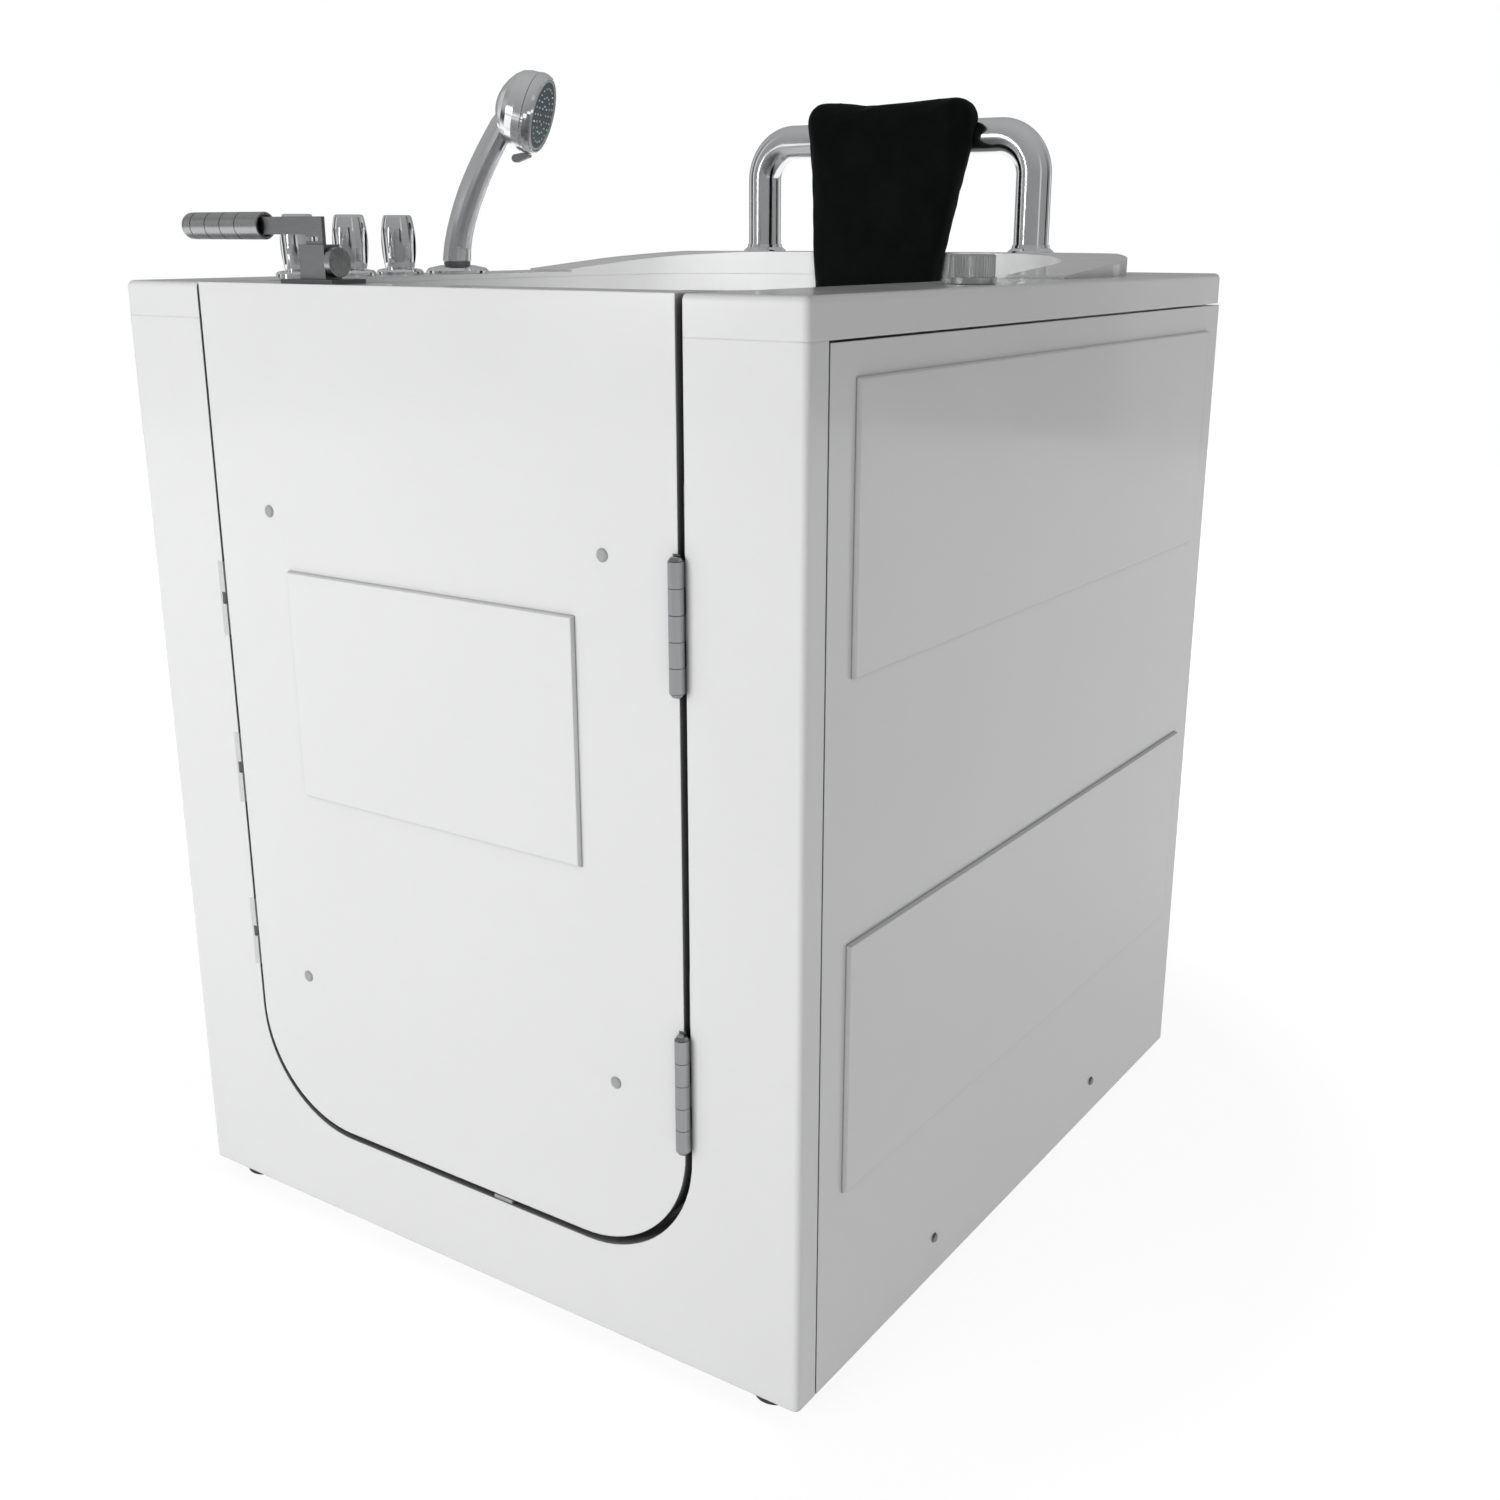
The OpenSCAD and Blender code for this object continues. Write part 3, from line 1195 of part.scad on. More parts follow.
module latch_grip() color(steel) translate([grip_x1, axle_y, deck_z + grip_h]) rotate([0, -90, 0]) difference() {
  r = grip_d / 2;
  rotate_extrude($fn = 64) polygon(concat(
    [[0, 14], [r - 4, 14], [r - 2.5, 0], [r - 0.8, 0], [r, 0.8]],
    [for (i = [1:4]) let (z = grip_l * (0.08 + 0.19 * i)) for (p = [[r, z - 0.7], [r - 0.9, z - 0.7],
      [r - 0.9, z + 0.7], [r, z + 0.7]]) p],
    [for (i = [0:6]) [r - 9 + 9 * cos(15 * i), grip_l - 9 + 9 * sin(15 * i)]],
    [[0, grip_l]]));
  translate([-bar_depth / 2 - running, arm_y - running, -1])
    cube([bar_depth + 2 * running, arm_t + 2 * running, 31 + running]);
}

arm_low = deck_z - 84;
module latch_bar() color(steel) {
  // upright bar with the studs
  translate([bar_line_x - 12, latch_bar_y - 3, keeper_zs[2] - 34])
    cube([24, 6, arm_low + 24 - keeper_zs[2] + 34]);
  // arm across to the lever
  translate([bar_line_x + 12 - eps, latch_bar_y - 3, arm_low])
    cube([latch_x - bar_line_x - 12 + strap_w / 2 + eps, 6, 24]);
  translate([latch_x - strap_w / 2, latch_bar_y, arm_low])
    cube([strap_w, strap_y0 + strap_d - latch_bar_y, 24]);
  // strap with a fork for the crank pin
  translate([latch_x - strap_w / 2, strap_y0, arm_low]) difference() {
    pin_z = axle_z + crank_r * sin(lever_swing / 2) - arm_low;
    cube([strap_w, strap_d, pin_z + pin_d / 2 + 4]);
    translate([-1, -1, pin_z - pin_d / 2 - 0.5]) cube([strap_w + 2, strap_d - 1.5, pin_d + 1]);
  }
}

module latch_studs() color(steel) for (z = keeper_zs)
  translate([open_x0 - stud_in, latch_bar_y, z]) rotate([0, 90, 0])
    cylinder(d = stud_d, h = bar_line_x - 12 - open_x0 + stud_in);

// ---------- the whole tub ----------

deck();
front_apron();
basin();
right_panel();
left_panel();
panel_screws();
frame_side_rails();
frame_cross_rails();
frame_uprights();
frame_top_rails();
basin_supports();
foot_pads();
foot_studs();
foot_locknuts();
drain_body();
drain_pipe();
overflow_cover();
overflow_pipe();
drain_cable();
tap_flanges();
valve_bodies();
supply_pipes();
inlet_spout();
handset_holder();
handset_collar();
grab_bar();
grab_bar_flanges();
grab_bar_nuts();
jamb_hinge_leaves();
hinge_pins();
keepers();
keeper_screws();
sill_plate();
door_outer();
door_inner();
door_seal();
door_caps();
door_hinge_leaves();
latch_plate();
latch_housing();
latch_axle();
latch_lever();
latch_grip();
latch_bar();
latch_studs();
hot_knob();
diverter_knob();
cold_knob();
drain_knob();
drain_plug();
handset_body();
handset_ring();
spray_face();
spray_tab();
headrest();
headrest_clips();
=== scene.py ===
import math

import bmesh
import bpy
from mathutils import Matrix, Vector


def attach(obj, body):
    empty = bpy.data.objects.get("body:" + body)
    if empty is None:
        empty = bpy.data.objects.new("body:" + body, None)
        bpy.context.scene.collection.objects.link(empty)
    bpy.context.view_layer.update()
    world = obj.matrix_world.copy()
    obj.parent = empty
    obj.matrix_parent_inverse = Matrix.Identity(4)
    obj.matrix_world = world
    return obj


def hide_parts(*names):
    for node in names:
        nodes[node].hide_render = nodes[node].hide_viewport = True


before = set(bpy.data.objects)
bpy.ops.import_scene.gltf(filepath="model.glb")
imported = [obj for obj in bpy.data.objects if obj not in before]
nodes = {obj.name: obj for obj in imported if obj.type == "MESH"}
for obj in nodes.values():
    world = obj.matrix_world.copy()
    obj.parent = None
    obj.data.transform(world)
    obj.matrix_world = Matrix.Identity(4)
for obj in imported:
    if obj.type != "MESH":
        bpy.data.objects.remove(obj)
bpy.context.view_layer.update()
print("frame loaded:", len(nodes), "nodes")

# camera and lamps

view = {
    "place": (1.0977, -1.5538, 1.0594),
    "yaw": 34.119,       # degrees to the left of +Y
    "pitch": 17.156,     # degrees below the level
    "lens": 40.12, "sensor": 36,
    "reach": 60,
}

cameraData = bpy.data.cameras.new("photoCamera")
cameraData.lens = view["lens"]
cameraData.sensor_width = view["sensor"]
cameraData.clip_end = view["reach"]
camera = bpy.data.objects.new("photoCamera", cameraData)
camera.location = view["place"]
camera.rotation_euler = (math.radians(90 - view["pitch"]), 0, math.radians(view["yaw"]))
bpy.context.collection.objects.link(camera)
bpy.context.scene.camera = camera

studio = {
    "lamps": [
        # name, place, aimed at, size, watts
        ("frontLamp", (-1.2, -3.7, 1.5), (0, -0.3, 0.8), (2.0, 1.4), 54),
        ("lowLamp", (0.6, -3.4, 0.35), (0.2, -0.4, 0.2), (2.6, 0.6), 13),
        ("topLamp", (-1.4, -0.7, 3.3), (0, 0, 1.0), (2.0, 2.0), 6),
        ("sideLamp", (3.3, -0.4, 1.55), (0, 0.1, 0.9), (1.6, 0.9), 11),
        ("basinLamp", (0.32, -0.38, 1.3), (-0.22, 0.35, 1.0), (0.24, 0.12), 0.6),
        ("backLamp", (-2.4, 3.0, 1.1), (0, 0.3, 0.5), (2.2, 1.2), 13),
        ("streakLamp", (-1.6, -3.0, 1.32), (0, -0.1, 1.1), (0.3, 0.8), 4),
    ],
    "narrow": {"basinLamp": 62},      # degrees of spread, the rest send light all round
    "mirrored": "streakLamp",         # the only lamp that shows in polished metal
    "worldStrength": 0.24,
}


def addLamp(name, place, aim, size, watts):
    data = bpy.data.lights.new(name, "AREA")
    data.shape = "RECTANGLE"
    data.size, data.size_y = size
    data.energy = watts
    data.spread = math.radians(studio["narrow"].get(name, 180))
    lamp = bpy.data.objects.new(name, data)
    lamp.location = place
    lamp.rotation_euler = (Vector(aim) - Vector(place)).to_track_quat("-Z", "Y").to_euler()
    lamp.visible_camera = False
    lamp.visible_glossy = name == studio["mirrored"]
    bpy.context.collection.objects.link(lamp)
    return lamp


for lamp in studio["lamps"]:
    addLamp(*lamp)

# world

# the grey room that polished metal mirrors, with narrow pale and dark uprights in it
room = {
    # share of the way from straight down to straight up, grey
    "heights": ((0.0, 0.42), (0.42, 0.36), (0.5, 0.3), (0.6, 0.34), (0.8, 0.4), (1.0, 0.46)),
    # direction in degrees from +X, half width, 1 pale or 0 dark
    "uprights": ((-162, 5, 0.0), (-150, 4, 1.0), (-20, 3, 0.9), (38, 5, 0.02), (74, 5, 1.0), (172, 4, 1.0)),
    "edge": 2,           # degrees from an upright to the plain room
    "contrast": 1.6,
    "narrowing": 1.6,    # how fast the uprights fade away from the level
    "rounding": 0.2,
}


def mathNode(tree, operation, *values):
    node = tree.nodes.new("ShaderNodeMath")
    node.operation = operation
    for socket, value in zip(node.inputs, values):
        if isinstance(value, (int, float)):
            socket.default_value = value
        else:
            tree.links.new(value, socket)
    return node.outputs[0]


def mixShaders(tree, share, first, second):
    node = tree.nodes.new("ShaderNodeMixShader")
    for socket, value in zip(node.inputs, (share, first, second)):
        tree.links.new(value, socket)
    return node.outputs[0]


def ramp(tree, stops, value):
    node = tree.nodes.new("ShaderNodeValToRGB")
    bar = node.color_ramp.elements
    stops = sorted(stops)
    bar[0].position, bar[1].position = stops[0][0], stops[-1][0]
    bar[0].color = (*[stops[0][1]] * 3, 1)
    bar[1].color = (*[stops[-1][1]] * 3, 1)
    for spot, shade in stops[1:-1]:
        bar.new(spot).color = (shade, shade, shade, 1)
    tree.links.new(value, node.inputs[0])
    return node.outputs[0]


def uprightStops(uprights, edge):
    stops = [(0.0, 0.5), (1.0, 0.5)]
    for angle, half, shade in uprights:
        for turn, value in ((-half - edge, 0.5), (-half, shade), (half, shade), (half + edge, 0.5)):
            stops.append(((angle + turn + 180) / 360, value))
    return stops


def background(tree, strength):
    node = tree.nodes.new("ShaderNodeBackground")
    node.inputs["Color"].default_value = (1, 1, 1, 1)
    node.inputs["Strength"].default_value = strength
    return node


def buildWorld(r):
    world = bpy.data.worlds.new("paleWorld")
    world.use_nodes = True
    tree = world.node_tree
    tree.nodes.clear()
    place = tree.nodes.new("ShaderNodeTexCoord")
    split = tree.nodes.new("ShaderNodeSeparateXYZ")
    tree.links.new(place.outputs["Generated"], split.inputs[0])
    heights = ramp(tree, r["heights"], mathNode(tree, "MULTIPLY_ADD", split.outputs["Z"], 0.5, 0.5))
    turned = mathNode(tree, "ARCTAN2", split.outputs["Y"], split.outputs["X"])
    uprights = ramp(tree, uprightStops(r["uprights"], r["edge"]),
                    mathNode(tree, "MULTIPLY_ADD", turned, 0.5 / math.pi, 0.5))
    boost = mathNode(tree, "POWER", mathNode(tree, "MULTIPLY", uprights, 2.0), r["contrast"])
    steep = mathNode(tree, "MULTIPLY", mathNode(tree, "ABSOLUTE", split.outputs["Z"]), r["narrowing"])
    nearLevel = mathNode(tree, "SUBTRACT", 1.0, mathNode(tree, "SMOOTH_MIN", steep, 1.0, r["rounding"]))
    mirrored = background(tree, 1.0)
    tree.links.new(heights, mirrored.inputs["Color"])
    tree.links.new(mathNode(tree, "MULTIPLY_ADD", mathNode(tree, "SUBTRACT", boost, 1.0), nearLevel, 1.0),
                   mirrored.inputs["Strength"])
    path = tree.nodes.new("ShaderNodeLightPath")
    lit = mixShaders(tree, path.outputs["Is Glossy Ray"],
                     background(tree, studio["worldStrength"]).outputs[0], mirrored.outputs[0])
    # camera and see-through rays find plain white
    seen = mathNode(tree, "MAXIMUM", path.outputs["Is Camera Ray"], path.outputs["Is Transmission Ray"])
    out = tree.nodes.new("ShaderNodeOutputWorld")
    tree.links.new(mixShaders(tree, seen, lit, background(tree, 1.0).outputs[0]), out.inputs["Surface"])
    return world


bpy.context.scene.world = buildWorld(room)
print("camera, lamps and world built")

# material helpers


class Recipe:
    # a Principled material with short calls for its pattern nodes
    def __init__(self, name, colour, roughness, metallic=0.0):
        self.material = bpy.data.materials.new(name)
        self.material.use_nodes = True
        self.tree = self.material.node_tree
        self.shader = self.tree.nodes["Principled BSDF"]
        self.shader.inputs["Base Color"].default_value = (*colour, 1)
        self.shader.inputs["Roughness"].default_value = roughness
        self.shader.inputs["Metallic"].default_value = metallic
        self.coords = self.tree.nodes.new("ShaderNodeTexCoord").outputs["Object"]

    def set(self, **values):
        for key, value in values.items():
            self.shader.inputs[key.replace("_", " ")].default_value = value
        return self

    def link(self, a, b):
        self.tree.links.new(a, b)
        return self

    def stretch(self, scale):
        node = self.tree.nodes.new("ShaderNodeMapping")
        node.inputs["Scale"].default_value = scale
        self.link(self.coords, node.inputs["Vector"])
        return node.outputs[0]

    def noise(self, scale, detail=3.0, rough=0.5, coords=None):
        node = self.tree.nodes.new("ShaderNodeTexNoise")
        node.inputs["Scale"].default_value = scale
        node.inputs["Detail"].default_value = detail
        node.inputs["Roughness"].default_value = rough
        self.link(coords or self.coords, node.inputs["Vector"])
        return node.outputs["Fac"]

    def cells(self, scale):
        node = self.tree.nodes.new("ShaderNodeTexVoronoi")
        node.inputs["Scale"].default_value = scale
        self.link(self.coords, node.inputs["Vector"])
        return node.outputs["Distance"]

    def away(self, point):
        # distance from a point of the object
        node = self.tree.nodes.new("ShaderNodeVectorMath")
        node.operation = "DISTANCE"
        node.inputs[1].default_value = point
        self.link(self.coords, node.inputs[0])
        return node.outputs["Value"]

    def remap(self, value, fromLow, fromHigh, low, high):
        node = self.tree.nodes.new("ShaderNodeMapRange")
        for socket, number in zip(("From Min", "From Max", "To Min", "To Max"), (fromLow, fromHigh, low, high)):
            node.inputs[socket].default_value = number
        self.link(value, node.inputs["Value"])
        return node.outputs["Result"]

    def blend(self, factor, a, b):
        node = self.tree.nodes.new("ShaderNodeMix")
        node.data_type = "RGBA"
        for socket, colour in ((6, a), (7, b)):
            node.inputs[socket].default_value = (*colour, 1)
        self.link(factor, node.inputs[0])
        return node.outputs[2]

    def paintCreaseShade(self, distance, shade, low, high):
        # painted shade: ambient occlusion darkens the colour in seams and inner corners
        node = self.tree.nodes.new("ShaderNodeAmbientOcclusion")
        node.samples = 6
        node.inputs["Distance"].default_value = distance
        mix = self.tree.nodes.new("ShaderNodeMix")
        mix.data_type = "RGBA"
        mix.inputs[6].default_value = (*shade, 1)
        self.link(self.remap(node.outputs["AO"], low, high, 0, 1), mix.inputs[0])
        base = self.shader.inputs["Base Color"]
        mix.inputs[7].default_value = base.default_value
        if base.links:
            self.link(base.links[0].from_socket, mix.inputs[7])
        return self.link(mix.outputs[2], base)

    def roughness(self, value, low, high):
        return self.link(self.remap(value, 0.3, 0.7, low, high), self.shader.inputs["Roughness"])

    def colour(self, value, a, b, low=0.3, high=0.7):
        return self.link(self.blend(self.remap(value, low, high, 0, 1), a, b), self.shader.inputs["Base Color"])

    def bumps(self, *layers, bevel=0.0):
        # layers are (height value, distance in metres)
        normal = None
        if bevel:
            node = self.tree.nodes.new("ShaderNodeBevel")
            node.samples = 4
            node.inputs["Radius"].default_value = bevel
            normal = node.outputs[0]
        for height, distance in layers:
            node = self.tree.nodes.new("ShaderNodeBump")
            node.inputs["Distance"].default_value = distance
            node.inputs["Strength"].default_value = 1.0
            self.link(height, node.inputs["Height"])
            if normal:
                self.link(normal, node.inputs["Normal"])
            normal = node.outputs[0]
        return self.link(normal, self.shader.inputs["Normal"])


acrylic = Recipe("acrylic", (0.86, 0.862, 0.866), 0.16).set(IOR=1.49, Coat_Weight=0.25, Coat_Roughness=0.05)
acrylic.colour(acrylic.noise(2.2, 2), (0.852, 0.854, 0.858), (0.868, 0.87, 0.872))
acrylic.roughness(acrylic.noise(9, 4), 0.14, 0.22)
# painted shade in the acrylic's seams, inner corners and round the raised pads
acrylic.paintCreaseShade(0.022, (0.06, 0.061, 0.063), 0.22, 0.86)
acrylic.bumps((acrylic.noise(7, 2), 0.0005), (acrylic.noise(420, 2), 0.00001), bevel=0.0018)

chrome = Recipe("chrome", (0.8, 0.81, 0.82), 0.06, 1.0)
chrome.roughness(chrome.noise(60, 3), 0.035, 0.085)
chrome.bumps((chrome.noise(30, 2), 0.00004), bevel=0.0006)

satinBody = Recipe("satinBody", (0.86, 0.87, 0.88), 0.2, 1.0)
satinBody.roughness(satinBody.noise(50, 3), 0.15, 0.22)
satinBody.bumps((satinBody.noise(26, 2), 0.00003), bevel=0.0006)

satinBar = Recipe("satinBar", (0.8, 0.81, 0.82), 0.14, 1.0)
satinBar.roughness(satinBar.noise(50, 3), 0.1, 0.18)
satinBar.bumps((satinBar.noise(26, 2), 0.00004), bevel=0.0006)


def brushed(name, stretch, colour, rough=(0.3, 0.38)):
    made = Recipe(name, colour, rough[0], 1.0)
    lines = made.noise(90, 4, 0.6, made.stretch(stretch))
    made.colour(lines, tuple(c * 0.94 for c in colour), tuple(min(1, c * 1.06) for c in colour))
    made.roughness(lines, *rough)
    made.bumps((lines, 0.00002), bevel=0.0008)
    return made


brushedAlong = brushed("brushedAlong", (0.6, 8, 8), (0.28, 0.283, 0.29), (0.34, 0.4))  # lines run along X
# a darker copy of brushedAlong: painted shade for the latch plate's shaded face
brushedPlateShaded = brushed("brushedPlateShaded", (0.6, 8, 8), (0.18, 0.182, 0.187), (0.34, 0.4))
brushedRound = brushed("brushedRound", (12, 12, 0.4), (0.5, 0.505, 0.51))
turnedRings = brushed("turnedRings", (14, 1, 1), (0.44, 0.445, 0.45), (0.22, 0.3))  # rings round X
hingeSteel = brushed("hingeSteel", (12, 12, 0.4), (0.3, 0.304, 0.31), (0.2, 0.27))
darkScrew = brushed("darkScrew", (3, 3, 3), (0.15, 0.152, 0.157))
millFrame = brushed("millFrame", (3, 3, 3), (0.4, 0.41, 0.42))

brass = Recipe("brass", (0.62, 0.45, 0.2), 0.32, 1.0)
brass.roughness(brass.noise(120, 4), 0.22, 0.45)
brass.bumps((brass.noise(300, 3), 0.00003), bevel=0.0006)

copper = Recipe("copper", (0.62, 0.3, 0.18), 0.3, 1.0)
copper.colour(copper.noise(25, 4), (0.5, 0.22, 0.12), (0.7, 0.36, 0.22))
copper.roughness(copper.noise(80, 4), 0.22, 0.42)

rubber = Recipe("rubber", (0.02, 0.02, 0.021), 0.62)
rubber.colour(rubber.noise(40, 4), (0.016, 0.016, 0.017), (0.035, 0.035, 0.036))
rubber.bumps((rubber.noise(700, 3), 0.00006), bevel=0.0008)

wastePlastic = Recipe("wastePlastic", (0.25, 0.255, 0.26), 0.4)
wastePlastic.roughness(wastePlastic.noise(60, 3), 0.34, 0.48)
wastePlastic.bumps((wastePlastic.noise(350, 2), 0.00004), bevel=0.0008)

greyPlastic = Recipe("greyPlastic", (0.42, 0.425, 0.43), 0.36)
greyPlastic.roughness(greyPlastic.noise(90, 3), 0.3, 0.44)
greyPlastic.bumps((greyPlastic.noise(500, 2), 0.00003), bevel=0.0008)

collarGrey = Recipe("collarGrey", (0.13, 0.132, 0.136), 0.34)
collarGrey.roughness(collarGrey.noise(90, 3), 0.28, 0.42)
collarGrey.bumps((collarGrey.noise(500, 2), 0.00003), bevel=0.0006)

whitePlastic = Recipe("whitePlastic", (0.68, 0.685, 0.69), 0.3)
whitePlastic.roughness(whitePlastic.noise(90, 3), 0.24, 0.38)
whitePlastic.bumps((whitePlastic.noise(500, 2), 0.00003), bevel=0.0008)

darkPlastic = Recipe("darkPlastic", (0.02, 0.022, 0.026), 0.3)
darkPlastic.roughness(darkPlastic.noise(90, 3), 0.24, 0.4)
darkPlastic.bumps((darkPlastic.noise(500, 2), 0.00003), bevel=0.0005)

sprayDark = Recipe("sprayDark", (0.012, 0.024, 0.034), 0.3)
faceCentre = (-0.2481, 0.0077, 1.1894)
faceRim = (0.0362, 0.0368)              # dark inside the first radius, light outside the second
sprayDark.colour(sprayDark.away(faceCentre), (0.012, 0.025, 0.036), (0.5, 0.51, 0.52), *faceRim)
sprayDark.roughness(sprayDark.noise(160, 3), 0.26, 0.36)
sprayDark.bumps((sprayDark.noise(500, 2), 0.00003), bevel=0.0004)

nozzleRubber = Recipe("nozzleRubber", (0.3, 0.38, 0.42), 0.45)
nozzleRubber.colour(nozzleRubber.noise(300, 2), (0.4, 0.52, 0.57), (0.56, 0.68, 0.72))

cushionSkin = Recipe("cushionSkin", (0.003, 0.0035, 0.0033), 0.6).set(Specular_IOR_Level=0.05)
grain = cushionSkin.cells(850)
pores = cushionSkin.noise(1500, 3)
mottle = cushionSkin.noise(26, 5, 0.62)
cushionSkin.colour(mottle, (0.0018, 0.0024, 0.0022), (0.0042, 0.0052, 0.0048))
cushionSkin.roughness(mottle, 0.5, 0.68)
cushionSkin.bumps((mottle, 0.0004), (grain, 0.00012), (pores, 0.00004))

# CAD nodes and their finishes

finishes = [
    (acrylic, ["deck", "front_apron", "basin", "right_panel", "left_panel", "door_outer", "door_inner"]),
    (chrome, ["drain_body", "overflow_cover", "tap_flanges", "inlet_spout", "handset_holder", "hot_knob",
              "diverter_knob", "cold_knob", "drain_plug", "handset_ring"]),
    (brushedAlong, ["latch_housing", "latch_lever"]),
    (brushedPlateShaded, ["latch_plate"]),
    (turnedRings, ["latch_grip", "latch_axle"]),
    (satinBody, ["handset_body"]),
    (satinBar, ["grab_bar", "grab_bar_flanges"]),
    (darkScrew, ["panel_screws"]),
    (brushedRound, ["drain_knob"]),
    (hingeSteel, ["jamb_hinge_leaves", "door_hinge_leaves", "hinge_pins"]),
    (millFrame, ["frame_side_rails", "frame_cross_rails", "frame_uprights", "frame_top_rails", "basin_supports",
                 "foot_studs", "foot_locknuts", "grab_bar_nuts", "keeper_screws", "latch_bar", "latch_studs"]),
    (brass, ["valve_bodies"]),
    (copper, ["supply_pipes"]),
    (rubber, ["foot_pads", "door_seal", "drain_cable"]),
    (collarGrey, ["handset_collar", "spray_tab"]),
    (wastePlastic, ["drain_pipe", "overflow_pipe"]),
    (greyPlastic, ["sill_plate", "door_caps"]),
    (whitePlastic, ["keepers"]),
    (darkPlastic, ["headrest_clips"]),
    (sprayDark, ["spray_face"]),
    (cushionSkin, ["headrest"]),
]


def paint(obj, recipe):
    obj.data.materials.clear()
    obj.data.materials.append(recipe.material)


for recipe, names in finishes:
    for name in names:
        for slot in nodes[name].material_slots:
            slot.material = recipe.material
print("materials set on", sum(len(names) for recipe, names in finishes), "nodes")

# mesh helpers


def smoothShade(obj):
    obj.data.polygons.foreach_set("use_smooth", [True] * len(obj.data.polygons))


def addMesh(name, verts, faces, recipe):
    mesh = bpy.data.meshes.new(name)
    mesh.from_pydata([tuple(v) for v in verts], [], faces)
    mesh.validate()
    obj = bpy.data.objects.new(name, mesh)
    bpy.context.collection.objects.link(obj)
    paint(obj, recipe)
    outwards(obj)
    smoothShade(obj)
    return obj


def outwards(obj):
    work = bmesh.new()
    work.from_mesh(obj.data)
    bmesh.ops.recalc_face_normals(work, faces=work.faces)
    work.to_mesh(obj.data)
    work.free()


def keepMesh(obj):
    # turns what the modifiers make into the plain mesh
    bpy.context.view_layer.update()
    graph = bpy.context.evaluated_depsgraph_get()
    made = bpy.data.meshes.new_from_object(obj.evaluated_get(graph), depsgraph=graph)
    obj.modifiers.clear()
    obj.data = made
    return obj


# headrest

headrest = {
    "top": 0.236, "foot": 0.165,          # widths
    "topHigh": 0.043, "footLow": -0.25,   # ends, from the bar's axis
    "backTop": -0.012, "backLow": -0.024,  # back at the bar, and where it passes the deck
    "bend": (-0.02, 0.13),                # where the back starts to draw in, and over what height
    "front": -0.062,
    "ear": 0.022, "toe": 0.016, "dip": 0.004, "crown": 0.001,
    "toeSteps": 6, "earSteps": 9, "sideSteps": 14, "dipSteps": 8,
    # share of the way from back to front, and how far the outline is drawn in there
    "layers": ((0, 0.005), (0.04, 0.002), (0.14, 0.0006), (0.34, 0), (0.55, 0.0006), (0.7, 0.0022),
               (0.82, 0.006), (0.91, 0.013), (0.97, 0.028), (0.995, 0.058)),
    "tilt": 6.2,                          # degrees, the foot further forward than the top
    "at": (0.006, 0.3995, 1.173),         # middle of the bar's axis
    "room": 0.002,                        # left for the filling to swell into
    "voxel": 0.005,
    "cloth": {"quality": 6, "mass": 0.3, "tension_stiffness": 18, "compression_stiffness": 18,
              "shear_stiffness": 8, "bending_stiffness": 3, "use_pressure": True, "uniform_pressure_force": 2.5},
    "cap": 0.004, "steps": 20,            # furthest swelling, and frames that it takes
    "smoothing": (0.5, 3),
    "barGroove": 0.0222, "clipGroove": 0.0264, "clipFlat": -0.0239,
    "clipAt": 0.062, "clipHalf": 0.0118, "clipCentre": 0.006,
    "leastReach": 0.004, "leastDepth": 0.002,    # keep points at the bar's axis from flying off
}


def headrestBack(h, z):
    # thinner from just below the bar down to the deck
    start, length = h["bend"]
    share = min(1.0, max(0.0, (start - z) / length))
    return h["backTop"] + (h["backLow"] - h["backTop"]) * share


def headrestTurn(h):
    return Matrix.Translation(h["at"]) @ Matrix.Rotation(math.radians(-h["tilt"]), 4, "X")


def arc(centre, radius, first, last, steps):
    # flat points on part of a circle, between two angles in degrees
    points = []
    for i in range(steps + 1):
        angle = math.radians(first + (last - first) * i / steps)
        points.append((centre[0] + radius * math.cos(angle), centre[1] + radius * math.sin(angle)))
    return points


def headrestOutline(h, inset):
    w, f = h["top"] / 2, h["foot"] / 2
    high, low, ear, toe, sides = h["topHigh"], h["footLow"], h["ear"], h["toe"], h["sideSteps"]
    right = [(0.0, low), (f * 0.4, low)]
    right += arc((f - toe, low + toe), toe, -90, 0, h["toeSteps"])
    right += [(f + (w - f) * i / sides, low + toe + (high - ear - low - toe) * i / sides) for i in range(1, sides)]
    right += arc((w - ear, high - ear), ear, 0, 108, h["earSteps"])
    for i in range(1, h["dipSteps"] + 1):
        u = 1 - i / h["dipSteps"]
        right.append((u * (w - ear * 1.4), high - h["dip"] * (1 - u * u) - h["crown"]))
    ring = right + [(-x, z) for x, z in reversed(right[1:-1])]
    middle = (high + low) / 2
    kx, kz = 1 - 2 * inset / h["top"], 1 - 2 * inset / (high - low)
    return [(x * kx, middle + (z - middle) * kz) for x, z in ring]


def buildHeadrest(h):
    shrink = h["room"]
    turn = headrestTurn(h)
    front = h["front"] + shrink * 0.5
    verts, faces = [], []
    for depth, inset in h["layers"]:
        for x, z in headrestOutline(h, inset + shrink):
            back = headrestBack(h, z) - shrink * 0.5
            verts.append(turn @ Vector((x, back + (front - back) * depth, z)))
    rows = len(h["layers"])
    count = len(verts) // rows
    for i in range(rows - 1):
        for k in range(count):
            a, b = i * count + k, i * count + (k + 1) % count
            faces.append((a, b, b + count, a + count))
    # the back is a ladder of strips, because it bends
    for k in range(count // 2):
        strip = (k, k + 1, (count - k - 1) % count, (count - k) % count)
        faces.append(tuple(dict.fromkeys(strip)))
    # the front closes on one point
    verts.append(turn @ Vector((0, front, (h["topHigh"] + h["footLow"]) / 2)))
    start = (rows - 1) * count
    for k in range(count):
        faces.append((start + k, start + (k + 1) % count, len(verts) - 1))
    pad = addMesh("headrestCushion", verts, faces, cushionSkin)
    inflate(pad, h, turn)
    grooves(pad, h, turn)
    return pad


